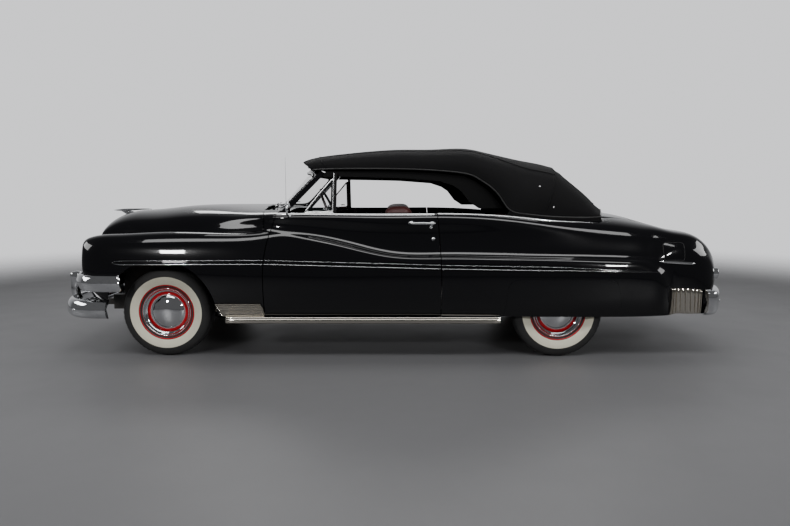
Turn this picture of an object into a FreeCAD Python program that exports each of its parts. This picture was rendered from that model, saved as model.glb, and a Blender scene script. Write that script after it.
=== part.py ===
# A 1950s convertible car with its top up, real size, in millimetres.
# +X is forward, +Y is the car's left and +Z is up; the origin is on the ground below the middle.
import FreeCAD, Part
import Sketcher
import bisect
import math
import os
import re

from FreeCAD import Rotation, Vector

doc = FreeCAD.newDocument("Convertible")
sheet = doc.addObject("Spreadsheet::Sheet", "dims")

# Driving sizes
SIZES = {
    # wheels and where they stand
    "wheelbase": 2997,
    "front_axle": 1763.5,
    "front_track_half": 743,
    "rear_track_half": 762,
    "tyre_radius": 340,
    "tyre_width": 180,
    "tread_width": 132,
    "sidewall_radius": 262,
    "bead_radius": 190,
    "bead_width": 136,
    "rim_flange_radius": 208,
    "rim_well_radius": 178,
    "rim_wall": 7,
    "disc_radius": 160,
    "cap_radius": 133,
    "cap_rise": 30,
    "disc_out": 42,
    "drum_radius": 140,
    "drum_depth": 54,
    "drum_wall": 12,
    "hub_radius": 42,
    "spindle_radius": 20,
    "running_gap": 0.05,
    "seat_gap": 0.3,
    "move_gap": 6,
    # kingpins and the front end
    "kingpin_in": 118,
    "kingpin_radius": 16,
    "kingpin_half": 92,
    "arm_thick": 26,
    "arm_half": 34,
    "arm_root": 300,
    "spring_radius": 58,
    "spring_in": 238,
    # frame
    "rail_in": 370,
    "rail_width": 76,
    "rail_low": 222,
    "rail_depth": 118,
    "frame_front": 2330,
    "frame_rear": -2390,
    "kick_height": 232,
    "kick_start": -760,
    "kick_top_front": -960,
    "kick_top_rear": -1560,
    "kick_end": -1780,
    "rear_rail_low": 372,
    "front_rail_low": 300,
    "front_kick_start": 1180,
    "front_kick_end": 1420,
    # floor and sills
    "floor_low": 345,
    "floor_thick": 14,
    "floor_front": 940,
    "floor_seat": 359.3,
    "floor_high_toe": 590,
    "rear_pan_low": 590,
    "rear_pan_front": -640,
    "rear_floor_half": 655,
    "housing_radius": 375,
    "housing_deep": 240,
    "trunk_rear": -2395,
    "sill_in": 720,
    "sill_out": 905,
    "sill_low": 285,
    "sill_high": 318,
    "sill_rear": -790,
    # body skin
    "body_half": 972,
    "skin_wall": 9,
    "quarter_wall": 24,
    "door_thick": 172,
    "hood_wall": 9,
    "lid_wall": 12,
    "door_front": 987,
    "door_rear": -333,
    "door_lip": 5,
    "door_recess": 8,
    "door_hinge_x": 1047,
    "door_hinge_y": 932,
    "door_hinge_low": 520,
    "door_hinge_high": 750,
    "door_pin_radius": 5,
    "door_eye_radius": 11,
    "door_eye_half": 18,
    "hood_rear": 1060,
    "hood_hinge_x": 985,
    "hood_hinge_y": 488,
    "hood_hinge_z": 1125,
    "lid_hinge_x": -1843,
    "lid_hinge_y": 400,
    "lid_hinge_z": 1069,
    "lug_radius": 8,
    "lug_pin": 4,
    "belt_high": 1102,
    "arch_radius": 418,
    "skirt_front": -834,
    "skirt_rear": -1672,
    "wheelhouse_front": -760,
    "tail_lamp_radius": 44,
    "deck_front": -1490,
    "lid_front": -1846,
    "lid_low": 566,
    # cowl, windscreen and top
    "cowl_drop": 26,
    "cowl_wall": 20,
    "firewall_x": 1010,
    "firewall_thick": 12,
    "screen_base_x": 1016,
    "screen_base_z": 1122,
    "screen_top_x": 738,
    "screen_top_z": 1448,
    "screen_side_base_x": 891,
    "screen_side_base_z": 1104,
    "screen_side_top_x": 583,
    "screen_side_top_z": 1425,
    "screen_base_half": 741,
    "screen_top_half": 662,
    "screen_frame": 40,
    "glass_thick": 6,
    "top_wall": 12,
    # inside
    "dash_half": 699.7,
    "dash_rear": 720,
    "dash_front": 950,
    "dash_high": 1080,
    "dash_low": 870,
    "wheel_ring_radius": 222,
    "wheel_ring_wire": 12,
    "wheel_at_x": 522,
    "wheel_at_y": 380,
    "wheel_at_z": 1072,
    "column_radius": 19,
    "column_length": 415,
    "column_slope": 25,
    "seat_half": 655,
    "front_seat_x": 90,
    "rear_seat_x": -760,
    "rear_seat_half": 600,
    # bumpers
    "bumper_front": 2610.5,
    "bumper_rear": -2626.5,
    "bumper_low": 300,
    "bumper_high": 424,
    "plate_spacing": 177.8,
    "plate_hole_radius": 3.5,
}
for row, (alias, amount) in enumerate(SIZES.items(), start=1):
    sheet.set(f"A{row}", alias)
    sheet.set(f"B{row}", str(amount))
    sheet.setAlias(f"B{row}", alias)
doc.recompute()


def bound(text):
    """An expression in the sheet's names, written as the document's objects read it."""
    return re.sub(r"[a-z]\w*", lambda word: f"dims.{word[0]}" if word[0] in SIZES else word[0], str(text))


def worked(text):
    """The value of an expression in the sheet's names."""
    return float(sheet.evalExpression(bound(text)))


nodes = {}


def node(label, item):
    """Names a finished sub-part; its label is also its file's name."""
    item.Label = label
    nodes[label] = item
    return item


def shaped(name, shape):
    """A sub-part whose surface neither a body nor a primitive can give."""
    item = doc.addObject("Part::Feature", name)
    item.Shape = shape
    return item


# Part primitives bound to the sheet
TURN = {"X": Rotation(Vector(0, 1, 0), 90), "Y": Rotation(Vector(1, 0, 0), -90), "Z": Rotation()}


def place(item, x, y, z):
    for axis, text in zip("xyz", (x, y, z)):
        item.setExpression(f"Placement.Base.{axis}", bound(text))


def block(name, x, y, z):
    """A box; x, y and z are each a low and a high expression."""
    box = doc.addObject("Part::Box", name)
    for side, (low, high) in zip(("Length", "Width", "Height"), (x, y, z)):
        box.setExpression(side, bound(f"({high}) - ({low})"))
    place(box, x[0], y[0], z[0])
    return box


def rod(name, radius, length, start, along="Z"):
    """A round bar from its start along one axis."""
    bar = doc.addObject("Part::Cylinder", name)
    bar.setExpression("Radius", bound(radius))
    bar.setExpression("Height", bound(length))
    bar.Placement.Rotation = TURN[along]
    place(bar, *start)
    return bar


def joined(name, parts):
    union = doc.addObject("Part::MultiFuse", name)
    union.Shapes = parts
    return union


def less(name, base, tool):
    cut = doc.addObject("Part::Cut", name)
    cut.Base = base
    cut.Tool = tool
    return cut


def mirrored(name, source):
    other = doc.addObject("Part::Mirroring", name)
    other.Source = source
    other.Normal = Vector(0, 1, 0)
    return other


# Bodies whose outlines are bound to the sheet corner by corner
def outlined(name, plane, corners):
    """A body with one closed outline on one of its own planes."""
    body = doc.addObject("PartDesign::Body", name)
    sketch = body.newObject("Sketcher::SketchObject", f"{name}_outline")
    support = [face for face in body.Origin.OriginFeatures if face.Role == plane][0]
    sketch.AttachmentSupport = [(support, "")]
    sketch.MapMode = "FlatFace"
    points = [Vector(worked(across), worked(up), 0) for across, up in corners]
    last = len(points) - 1
    for number, point in enumerate(points):
        sketch.addGeometry(Part.LineSegment(point, points[0 if number == last else number + 1]))
    for number in range(len(points)):
        following = 0 if number == last else number + 1
        sketch.addConstraint(Sketcher.Constraint("Coincident", number, 2, following, 1))
    for number, corner in enumerate(corners):
        for kind, text in zip(("DistanceX", "DistanceY"), corner):
            rule = Sketcher.Constraint(kind, -1, 1, number, 1, worked(text))
            sketch.setExpression(f"Constraints[{sketch.addConstraint(rule)}]", bound(text))
    return body, sketch


def turned(name, corners):
    """A body turned about the Y axis through its own origin; corners are (outwards, radius)."""
    body, sketch = outlined(name, "YZ_Plane", corners)
    turn = body.newObject("PartDesign::Revolution", f"{name}_turn")
    turn.Profile = sketch
    turn.ReferenceAxis = (sketch, ["H_Axis"])
    turn.Angle = 360
    return body


def padded(name, plane, corners, length):
    """A body padded both ways from one of its planes."""
    body, sketch = outlined(name, plane, corners)
    pad = body.newObject("PartDesign::Pad", f"{name}_pad")
    pad.Profile = sketch
    pad.Midplane = True
    pad.setExpression("Length", bound(length))
    return body


# The body's surface: ten lines that run from the nose to the tail, joined by smooth curves.
# They are the lower edge, the tuck-under, the widest line, the upper side, the fender's crown,
# the foot of the crown, the flank, the shoulder, the top between, and the middle line.
FRONT = worked("front_axle")
REAR = worked("front_axle - wheelbase")
HUB = worked("tyre_radius")
WIDE = worked("body_half / 972")
BELT = worked("belt_high - 1102")
MIDDLE = 9

# Where each line ends at the nose: a headlamp's ring, the catwalk and the hood's lip
NOSE = [
    (598, 745, 655), (604, 822, 688), (608, 853, 745), (608, 838, 828), (604, 745, 875),
    (561, 575, 845), (621, 510, 868), (656, 390, 883), (680, 200, 898), (688, 0, 905),
]
# Sections as distances from the front axle and (out, up) pairs, lower edge first
FRONT_SECTIONS = [
    (336, [(900, 400), (945, 500), (962, 620), (953, 780), (845, 942),
           (555, 885), (475, 960), (400, 1045), (220, 1098), (0, 1108)]),
    (0, [(900, 330), (948, 450), (967, 620), (955, 790), (850, 955),
         (605, 915), (535, 990), (460, 1075), (250, 1130), (0, 1141)]),
    (-413, [(900, 330), (948, 450), (968, 620), (952, 790), (872, 946),
            (705, 933), (645, 1005), (565, 1092), (300, 1142), (0, 1153)]),
    (-776, [(900, 330), (948, 450), (968, 620), (950, 790), (905, 925),
            (865, 965), (845, 1030), (790, 1100), (420, 1143), (0, 1154)]),
    (-1263, [(900, 330), (948, 450), (968, 610), (955, 755), (925, 878),
             (885, 908), (865, 1000), (834, 1102), (440, 1145), (0, 1154)]),
    (-1725, [(900, 330), (948, 450), (967, 600), (962, 705), (942, 782),
             (905, 815), (875, 960), (838, 1102), (450, 1140), (0, 1150)]),
]
# The same as distances from the rear axle
REAR_SECTIONS = [
    (900, [(900, 330), (948, 450), (967, 600), (963, 695), (945, 770),
           (905, 805), (874, 960), (838, 1104), (450, 1138), (0, 1148)]),
    (407, [(900, 325), (948, 450), (967, 600), (963, 690), (945, 763),
           (905, 800), (870, 950), (818, 1084), (450, 1130), (0, 1142)]),
    (0, [(900, 322), (948, 450), (967, 600), (963, 685), (947, 755),
         (905, 792), (865, 930), (782, 1048), (440, 1112), (0, 1130)]),
    (-447, [(900, 322), (948, 450), (965, 600), (960, 680), (942, 743),
            (900, 780), (860, 900), (752, 1024), (420, 1082), (0, 1097)]),
    (-617, [(899, 325), (945, 450), (961, 595), (954, 682), (933, 735),
            (894, 777), (857, 890), (752, 1003), (410, 1055), (0, 1066)]),
]
# The rear bulge ends along a rounded slope, so these points each have their own distance
BULGE_END = [
    (-757, 896, 330), (-752, 938, 450), (-742, 950, 585), (-708, 943, 675), (-684, 918, 730),
    (-684, 889, 786), (-684, 853, 887), (-688, 752, 994), (-688, 410, 1033), (-688, 0, 1043),
]
TAIL_SIDE = [
    (-830, 886, 335), (-828, 900, 450), (-825, 905, 570), (-808, 905, 665), (-778, 902, 746),
    (-774, 888, 812), (-774, 852, 896), (-774, 752, 983), (-774, 410, 1002), (-774, 0, 1011),
]
TAIL_SECTION = (-867, [(886, 345), (898, 450), (903, 570), (903, 665), (898, 760),
                       (883, 840), (845, 905), (750, 964), (410, 974), (0, 981)])
TAIL = [
    (-1097, 872, 345), (-1137, 850, 435), (-1167, 820, 482), (-1192, 785, 498), (-1212, 745, 500),
    (-1232, 700, 500), (-1258, 620, 500), (-1288, 480, 500), (-1316, 250, 500), (-1327, 0, 500),
]
CLOSING_STEPS = 4
CLOSING_POWER = 0.8


def at(origin, distance, out, up):
    """A point of the body's surface, with heights near the belt following the belt."""
    share = min(1, max(0, (up - 600) / 500))
    return Vector(origin + distance, out * WIDE, up + BELT * share)


def closing(base, end, step):
    """One row of the rounded end that turns from a base row to an end row."""
    angle = math.pi / 2 * step / CLOSING_STEPS
    forward = math.sin(angle)
    left = math.cos(angle) ** CLOSING_POWER if step < CLOSING_STEPS else 0
    return [
        Vector(b.x + (e.x - b.x) * forward, e.y + (b.y - e.y) * left, e.z + (b.z - e.z) * left)
        for b, e in zip(base, end)
    ]


front_rows = [[at(FRONT, x, *pair) for pair in pairs] for x, pairs in FRONT_SECTIONS]
rear_rows = [[at(REAR, x, *pair) for pair in pairs] for x, pairs in REAR_SECTIONS]
bulge_rows = [[at(REAR, *point) for point in row] for row in (BULGE_END, TAIL_SIDE)]
tail_row = [at(REAR, TAIL_SECTION[0], *pair) for pair in TAIL_SECTION[1]]
nose_end = [at(FRONT, *point) for point in NOSE]
tail_end = [at(REAR, *point) for point in TAIL]
nose_rows = [closing(front_rows[0], nose_end, step) for step in range(CLOSING_STEPS, 0, -1)]
tail_rows = [closing(tail_row, tail_end, step) for step in range(1, CLOSING_STEPS + 1)]
ROWS = nose_rows + front_rows + rear_rows + bulge_rows + [tail_row] + tail_rows


def natural(knots, values):
    """The bends at the knots of a natural cubic spline, from its tridiagonal equations."""
    count = len(knots)
    gaps = [knots[i + 1] - knots[i] for i in range(count - 1)]
    over, right = [0.0] * count, [0.0] * count
    for i in range(1, count - 1):
        pull = 6 * ((values[i + 1] - values[i]) / gaps[i] - (values[i] - values[i - 1]) / gaps[i - 1])
        lead = 2 * (gaps[i - 1] + gaps[i]) - gaps[i - 1] * over[i - 1]
        over[i] = gaps[i] / lead
        right[i] = (pull - gaps[i - 1] * right[i - 1]) / lead
    bends = [0.0] * count
    for i in range(count - 2, 0, -1):
        bends[i] = right[i] - over[i] * bends[i + 1]
    return bends


def spline(knots, values, bends, where):
    """The height of a cubic spline at a place between its knots."""
    i = min(len(knots) - 2, max(0, bisect.bisect_right(knots, where) - 1))
    gap = knots[i + 1] - knots[i]
    a = (knots[i + 1] - where) / gap
    b = 1 - a
    bend = (a ** 3 - a) * bends[i] + (b ** 3 - b) * bends[i + 1]
    return a * values[i] + b * values[i + 1] + bend * gap * gap / 6


def row_gap(row, following):
    return sum((p - q).Length for p, q in zip(row, following)) / len(row) / 1000


STATIONS = [0.0]
for row, following in zip(ROWS, ROWS[1:]):
    STATIONS.append(STATIONS[-1] + row_gap(row, following))
KEYS = [float(key) for key in range(MIDDLE + 1)]
LINES = []
for key in range(MIDDLE + 1):
    for part in range(3):
        heights = [row[key][part] for row in ROWS]
        LINES.append((heights, natural(STATIONS, heights)))
sections = {}


def section(s):
    """The ten points of the section at a place s along the body, with their bends."""
    if s not in sections:
        values = [spline(STATIONS, heights, bends, s) for heights, bends in LINES]
        coordinates = [values[part::3] for part in range(3)]
        sections[s] = [(heights, natural(KEYS, heights)) for heights in coordinates]
    return sections[s]


def skin(s, t):
    """The point of the body's surface at s along it and t around it; past the middle it mirrors."""
    over = t > MIDDLE
    around = 2 * MIDDLE - t if over else t
    x, y, z = [spline(KEYS, heights, bends, around) for heights, bends in section(s)]
    return Vector(x, -y if over else y, z)


def outward(s, t):
    """The surface's normal, from its two directions."""
    step = 0.002
    s0, s1 = max(0, s - step), min(STATIONS[-1], s + step)
    t0 = max(0, t - step)
    along = skin(s1, t) - skin(s0, t)
    around = skin(s, t + step) - skin(s, t0)
    return along.cross(around).normalize()


def crossing(edge, t):
    """Where the line t crosses an edge, given as a function that changes sign there."""
    near, far = 0.0, STATIONS[-1]
    if edge is nose:
        return near
    if edge is tail:
        return far
    rising = edge(skin(far, t)) > 0
    for _ in range(26):
        middle = (near + far) / 2
        if (edge(skin(middle, t)) > 0) == rising:
            far = middle
        else:
            near = middle
    return (near + far) / 2


def nose(point):
    return point.x


def tail(point):
    return point.x


def curves_through(lines):
    """A smooth curve through each line of points, all with the same stations along them."""
    stations = [0.0]
    for i in range(len(lines[0]) - 1):
        stations.append(stations[-1] + sum((line[i + 1] - line[i]).Length for line in lines) / len(lines))
    curves = []
    for line in lines:
        curve = Part.BSplineCurve()
        curve.interpolate(Points=line, Parameters=stations)
        curves.append(curve)
    return curves


def surface_through(grid):
    """A smooth surface through a grid of points."""
    rows = curves_through(grid)
    columns = curves_through([list(line) for line in zip(*[row.getPoles() for row in rows])])
    poles = [list(line) for line in zip(*[column.getPoles() for column in columns])]
    surface = Part.BSplineSurface()
    surface.buildFromPolesMultsKnots(
        poles, columns[0].getMultiplicities(), rows[0].getMultiplicities(),
        columns[0].getKnots(), rows[0].getKnots(), False, False, columns[0].Degree, rows[0].Degree)
    return surface


def between(outer, inner):
    """The closed solid between two grids of points, with smooth faces and ruled edges."""
    surfaces = [surface_through(grid) for grid in (outer, inner)]
    faces = [surface.toShape() for surface in surfaces]
    u0, u1, v0, v1 = surfaces[0].bounds()
    p0, p1, q0, q1 = surfaces[1].bounds()
    pairs = [(surfaces[0].uIso(u), surfaces[1].uIso(p)) for u, p in ((u0, p0), (u1, p1))]
    pairs += [(surfaces[0].vIso(v), surfaces[1].vIso(q)) for v, q in ((v0, q0), (v1, q1))]
    faces += [Part.makeRuledSurface(first.toShape(), second.toShape()) for first, second in pairs]
    shell = Part.Shell(faces)
    shell.sewShape()
    solid = Part.Solid(shell)
    if solid.Volume < 0:
        solid.reverse()
    return solid


def panel(front, rear, low, high, wall, rows, columns, proud=0):
    """A panel of the body's surface between two edges and two lines, as thick as its wall.

    high may be a function of the share along the panel, and wall one that gives the inner point.
    """
    outer, inner = [], []
    for i in range(rows + 1):
        u = i / rows
        top = high(u) if callable(high) else high
        outer_row, inner_row = [], []
        for j in range(columns + 1):
            t = low + (top - low) * j / columns
            s = crossing(front, t) * (1 - u) + crossing(rear, t) * u
            normal = outward(s, t)
            point = skin(s, t) + normal * proud
            outer_row.append(point)
            inner_row.append(wall(point, normal) if callable(wall) else point - normal * wall)
        outer.append(outer_row)
        inner.append(inner_row)
    return between(outer, inner)


def right_hand(shape):
    return shape.mirror(Vector(0, 0, 0), Vector(0, 1, 0))


def prism(points, low, high):
    """A tool cut straight across the car between two distances out, from (along, up) corners."""
    corners = [Vector(x, low, z) for x, z in points]
    return Part.Face(Part.makePolygon(corners + corners[:1])).extrude(Vector(0, high - low, 0))


def swept(profile, points, up=Vector(0, 0, 1)):
    """A closed outline carried along a smooth path, kept upright."""
    curve = Part.BSplineCurve()
    curve.interpolate(points)
    path = Part.Wire(curve.toShape())
    pipe = Part.BRepOffsetAPI.MakePipeShell(path)
    pipe.setBiNormalMode(up)
    pipe.add(profile)
    pipe.build()
    pipe.makeSolid()
    return pipe.shape()


def both_sides(points):
    """A path from the car's left to its right, from its left half, middle point last."""
    return points + [Vector(p.x, -p.y, p.z) for p in reversed(points[:-1])]


def straight_tube(points, radius):
    """A bent tube from straight runs, with a ball at each bend."""
    runs = []
    for start, end in zip(points, points[1:]):
        runs.append(Part.makeCylinder(radius, (end - start).Length, start, end - start))
    balls = [Part.makeSphere(radius, point) for point in points[1:-1]]
    return runs[0].multiFuse(runs[1:] + balls) if len(runs) > 1 else runs[0]


# Edges of the panels, as functions that change sign where a line of the skin crosses them
MOVE = worked("move_gap")
DOOR_FRONT = worked("door_front")
DOOR_REAR = worked("door_rear")
CABIN = worked("body_half - door_thick")


def door_front_at(height):
    return DOOR_FRONT - 80 * max(0, (height - 600) / 460) ** 2.2


def door_rear_at(height):
    return DOOR_REAR + 32 * max(0, (height - 600) / 510) ** 2


def hood_rear_at(out):
    return worked("hood_rear") - 60 * (out / 865) ** 2


def door_front_edge(point):
    return point.x - door_front_at(point.z)


def door_rear_edge(point):
    return point.x - door_rear_at(point.z)


def fender_rear_edge(point):
    return door_front_edge(point) - MOVE


def quarter_front_edge(point):
    return door_rear_edge(point) + MOVE


def hood_rear_edge(point):
    return point.x - hood_rear_at(point.y)


def straight_edge(x):
    return lambda point: point.x - x


def level_edge(z):
    return lambda point: point.z - z


# Front fenders: thin skins from the headlamp's ring to the door, open over the wheel
def fender(side_low, side_high):
    shell = panel(nose, fender_rear_edge, side_low, side_high, worked("skin_wall"), 22, 14)
    arch = Part.makeCylinder(
        worked("arch_radius"), 500, Vector(FRONT, 700, HUB), Vector(0, 1, 0)
    )
    return shell.cut(arch).fuse(apron())


def apron():
    """The inner panel beside the engine: a wall on the rail and a shelf out to the fender's foot."""
    rail_side = worked("rail_in + rail_width")
    upper, lower, tops = [], [], []
    for i in range(9):
        x = 1040 + (2240 - 1040) * i / 8
        s = crossing(straight_edge(x), 4.7)
        foot = skin(s, 4.7) - outward(s, 4.7) * 5
        top = Vector(x, rail_side - 1, foot.z - 46)
        tops.append(top)
        near, far = (foot * 2 + top) / 3, (foot + top * 2) / 3
        upper.append([foot, near - Vector(0, 0, 10), far - Vector(0, 0, 6), top])
        lower.append([point - Vector(0, 0, 6) for point in upper[-1]])
    shelf = between(upper, lower)
    wall = [(p.x, p.z - 2) for p in tops]
    wall += [(2240, 418.3), (1420, 418.3), (1180, 340.3), (1040, 340.3)]
    sheet_wall = prism(wall, rail_side - 6, rail_side)
    clear = Part.makeBox(150, 40, 120, Vector(FRONT - 75, rail_side - 20, 400))
    return shelf.fuse(sheet_wall.cut(clear))


fender_shape = fender(0, 5)
node("fender_front_left", shaped("FenderLeft", fender_shape))
node("fender_front_right", shaped("FenderRight", right_hand(fender_shape)))

# Hood: one skin across the car, hinged at its back edge
HOOD_SIDE = 5.1
hood_shape = panel(
    nose, hood_rear_edge, HOOD_SIDE, 2 * MIDDLE - HOOD_SIDE, worked("hood_wall"), 12, 20
)
hood_pin = Vector(worked("hood_hinge_x"), worked("hood_hinge_y"), worked("hood_hinge_z"))
for side in (1, -1):
    at_y = hood_pin.y if side > 0 else -hood_pin.y - 10
    arm = prism([(hood_pin.x, hood_pin.z - 8), (1120, hood_pin.z - 8), (1120, hood_pin.z + 6),
                 (hood_pin.x, hood_pin.z + 6)], at_y, at_y + 10)
    eye = Part.makeCylinder(worked("lug_radius"), 10, Vector(hood_pin.x, at_y, hood_pin.z), Vector(0, 1, 0))
    bore = Part.makeCylinder(
        worked("lug_pin + running_gap"), 60, Vector(hood_pin.x, at_y - 20, hood_pin.z), Vector(0, 1, 0))
    hood_shape = hood_shape.fuse(arm.fuse(eye)).cut(bore)
node("hood", shaped("HoodSkin", hood_shape))


# Doors: as thick as the whole door, from the skin to the flat trim inside
def door_inside(point, normal):
    return Vector(point.x, CABIN, point.z)


LIP = worked("door_lip")
RECESS = worked("door_recess")
door_shape = panel(door_front_edge, door_rear_edge, 0.08, 7, door_inside, 8, 16)
for edge, side in ((door_front_edge, 1), (door_rear_edge, -1)):
    recess = panel(
        lambda point: edge(point) - 3 * side, lambda point: edge(point) + RECESS * side,
        0, 7.1, lambda point, normal: Vector(point.x, CABIN - 20, point.z), 2, 16, -LIP)
    door_shape = door_shape.cut(recess)
HINGE_X = worked("door_hinge_x")
HINGE_Y = worked("door_hinge_y")
EYE = worked("door_eye_radius")
EYE_HALF = worked("door_eye_half")
PIN = worked("door_pin_radius")
strap_in = HINGE_Y - 70
for height in (worked("door_hinge_low"), worked("door_hinge_high")):
    low = height - EYE_HALF
    strap = [(HINGE_X - 7, HINGE_Y), (HINGE_X + 7, HINGE_Y), (HINGE_X + 7, strap_in - 7),
             (DOOR_FRONT - 30, strap_in - 7), (DOOR_FRONT - 30, strap_in + 7), (HINGE_X - 7, strap_in + 7)]
    corners = [Vector(x, y, low) for x, y in strap]
    arm = Part.Face(Part.makePolygon(corners + corners[:1])).extrude(Vector(0, 0, 2 * EYE_HALF))
    eye = Part.makeCylinder(EYE, 2 * EYE_HALF, Vector(HINGE_X, HINGE_Y, low))
    bore = Part.makeCylinder(PIN + worked("running_gap"), 200, Vector(HINGE_X, HINGE_Y, low - 50))
    door_shape = door_shape.fuse(arm.fuse(eye)).cut(bore)
node("door_left", shaped("DoorLeft", door_shape))
node("door_right", shaped("DoorRight", right_hand(door_shape)))


# Rear quarters: a wall to the tail, with a block beside the rear seat as thick as the door
DECK_SIDE = 7.5


def quarter_top(share):
    """The top line rises from the belt to the seam beside the trunk lid."""
    rise = min(1, max(0, (share - 0.42) / 0.22))
    return 7 + (DECK_SIDE - 7) * rise * rise * (3 - 2 * rise)


SKIRT = [("skirt_front", 567), ("skirt_front - 100", 613), ("skirt_rear + 130", 613),
         ("skirt_rear + 32", 590), ("skirt_rear - 8", 418), ("skirt_rear + 10", 250),
         ("skirt_front + 30", 250)]
skirt_corners = [(worked(along), up) for along, up in SKIRT]
SKIRT_MIDDLE = (sum(x for x, z in skirt_corners) / len(skirt_corners), 430)


def skirt_outline(inset):
    """The wheel opening's outline, drawn in by a gap."""
    middle_x, middle_z = SKIRT_MIDDLE
    corners = []
    for x, z in skirt_corners:
        corners.append((x - inset * (1 if x > middle_x else -1), z - inset * (z > middle_z)))
    return corners


quarter_wall = panel(quarter_front_edge, tail, 0, quarter_top, worked("quarter_wall"), 26, 16)
quarter_block = panel(
    lambda point: quarter_front_edge(point) + 1.5, straight_edge(worked("wheelhouse_front + 20")),
    0.1, 6.9, door_inside, 5, 14, -6)
quarter_shape = quarter_wall.fuse(quarter_block)
opening = prism(skirt_outline(0), 830, 1100)
skirt_shape = quarter_shape.common(prism(skirt_outline(0.3), 850, 1100))
quarter_shape = quarter_shape.cut(opening)
TAIL_LAMP = Vector(-2340, 775, 640)
quarter_shape = quarter_shape.cut(
    Part.makeCylinder(worked("tail_lamp_radius + seat_gap"), 400, TAIL_LAMP, Vector(-1, 0, 0)))
node("quarter_rear_left", shaped("QuarterLeft", quarter_shape))
node("quarter_rear_right", shaped("QuarterRight", right_hand(quarter_shape)))
node("fender_skirts", shaped("Skirts", Part.makeCompound([skirt_shape, right_hand(skirt_shape)])))

# Rear deck: the panel ahead of the trunk lid and the sill below it
LID_SIDE = 7.54
deck_front = panel(
    straight_edge(worked("deck_front")), straight_edge(worked("lid_front + move_gap")),
    DECK_SIDE + 0.0015, 2 * MIDDLE - DECK_SIDE - 0.0015, worked("lid_wall"), 6, 16)
deck_sill = panel(
    level_edge(worked("lid_low - move_gap")), tail,
    DECK_SIDE + 0.002, 2 * MIDDLE - DECK_SIDE - 0.002, worked("lid_wall"), 2, 16)
lid_pin = Vector(worked("lid_hinge_x"), worked("lid_hinge_y"), worked("lid_hinge_z"))


def lid_lug(side, start, end, near):
    """A lug on the deck or the lid, from the skin up to the pin."""
    low = side * lid_pin.y + start
    foot = prism([(lid_pin.x, lid_pin.z - 7), (near, lid_pin.z - 34), (near, lid_pin.z - 14),
                  (lid_pin.x, lid_pin.z + 7)], low, low + end - start)
    eye = Part.makeCylinder(
        worked("lug_radius"), end - start, Vector(lid_pin.x, low, lid_pin.z), Vector(0, 1, 0))
    return foot.fuse(eye)


for side in (1, -1):
    pin = Part.makeCylinder(
        worked("lug_pin"), 30.3, Vector(lid_pin.x, side * lid_pin.y - 30, lid_pin.z), Vector(0, 1, 0))
    for start in (-20, 0.3):
        deck_front = deck_front.fuse(lid_lug(side, start, start + 10, lid_pin.x + 44))
    deck_front = deck_front.fuse(pin)
node("rear_deck", shaped("Deck", Part.makeCompound([deck_front, deck_sill])))

# Trunk lid: hinged at its front edge
lid_shape = panel(
    straight_edge(worked("lid_front")), level_edge(worked("lid_low")),
    LID_SIDE, 2 * MIDDLE - LID_SIDE, worked("lid_wall"), 12, 16)
for side in (1, -1):
    bore = Part.makeCylinder(worked("lug_pin + running_gap"), 60,
                             Vector(lid_pin.x, side * lid_pin.y - 40, lid_pin.z), Vector(0, 1, 0))
    lid_shape = lid_shape.fuse(lid_lug(side, -9.7, 0, lid_pin.x - 44)).cut(bore)
node("trunk_lid", shaped("Lid", lid_shape))


# Windscreen: a curved sheet in a frame that stands on the cowl
def screen(across, up, depth):
    """A point of the windscreen: across from -1 to 1, up from 0 to 1, and depth behind its face."""
    share = across * across
    base = Vector(worked("screen_base_x"), 0, worked("screen_base_z"))
    top = Vector(worked("screen_top_x"), 0, worked("screen_top_z"))
    base_side = Vector(worked("screen_side_base_x"), 0, worked("screen_side_base_z"))
    top_side = Vector(worked("screen_side_top_x"), 0, worked("screen_side_top_z"))
    low = base + (base_side - base) * share
    high = top + (top_side - top) * share
    point = low + (high - low) * up
    half = worked("screen_base_half") + worked("screen_top_half - screen_base_half") * up
    lean = Vector(-0.76, 0, -0.65)
    return Vector(point.x, half * across, point.z) + lean * depth


def screen_sheet(side, low, high, front, back):
    """A curved sheet of the windscreen between two depths."""
    outer, inner = [], []
    for i in range(9):
        across = side * (1 - i / 4)
        ups = [low + (high - low) * j / 4 for j in range(5)]
        outer.append([screen(across, up, front) for up in ups])
        inner.append([screen(across, up, back) for up in ups])
    return between(outer, inner)


frame_deep = worked("screen_frame")
screen_frame = screen_sheet(1, -0.015, 1, 0, frame_deep).cut(screen_sheet(0.94, 0.09, 0.9, -30, 90))
glass_front = worked("(screen_frame - glass_thick) / 2")
glass = screen_sheet(0.9396, 0.0907, 0.8993, glass_front, glass_front + worked("glass_thick"))
node("windshield_glass", shaped("Screen", glass))

# Cowl: the strips beside the hood's back edge, the sunk panel under the glass, firewall and pillars
strip = panel(
    lambda point: hood_rear_edge(point) + MOVE, fender_rear_edge, 5.01, 7.35, worked("cowl_wall"), 4, 14)
door_room = [(door_front_at(z) + MOVE, z) for z in range(1040, 1131, 15)] + [(840, 1130), (840, 1040)]
strip = strip.cut(prism(door_room, CABIN - MOVE, 1000))
sunk = panel(
    straight_edge(worked("hood_rear + 36")), straight_edge(worked("hood_rear - 220")),
    7.3, 2 * MIDDLE - 7.3, worked("skin_wall"), 5, 16, -worked("cowl_drop"))
wall_x = worked("firewall_x")
wall_corners = [(CABIN, worked("floor_high_toe - 30")), (CABIN, 1030)]
for t in (7.45, 7.65, 7.85, 8.1, 8.35, 8.6, 8.8, 9):
    s = crossing(straight_edge(wall_x + 6), t)
    point = skin(s, t) - outward(s, t) * worked("cowl_drop + skin_wall / 2")
    wall_corners.append((point.y, point.z))
wall_corners += [(-y, z) for y, z in reversed(wall_corners[:-1])]
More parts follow.
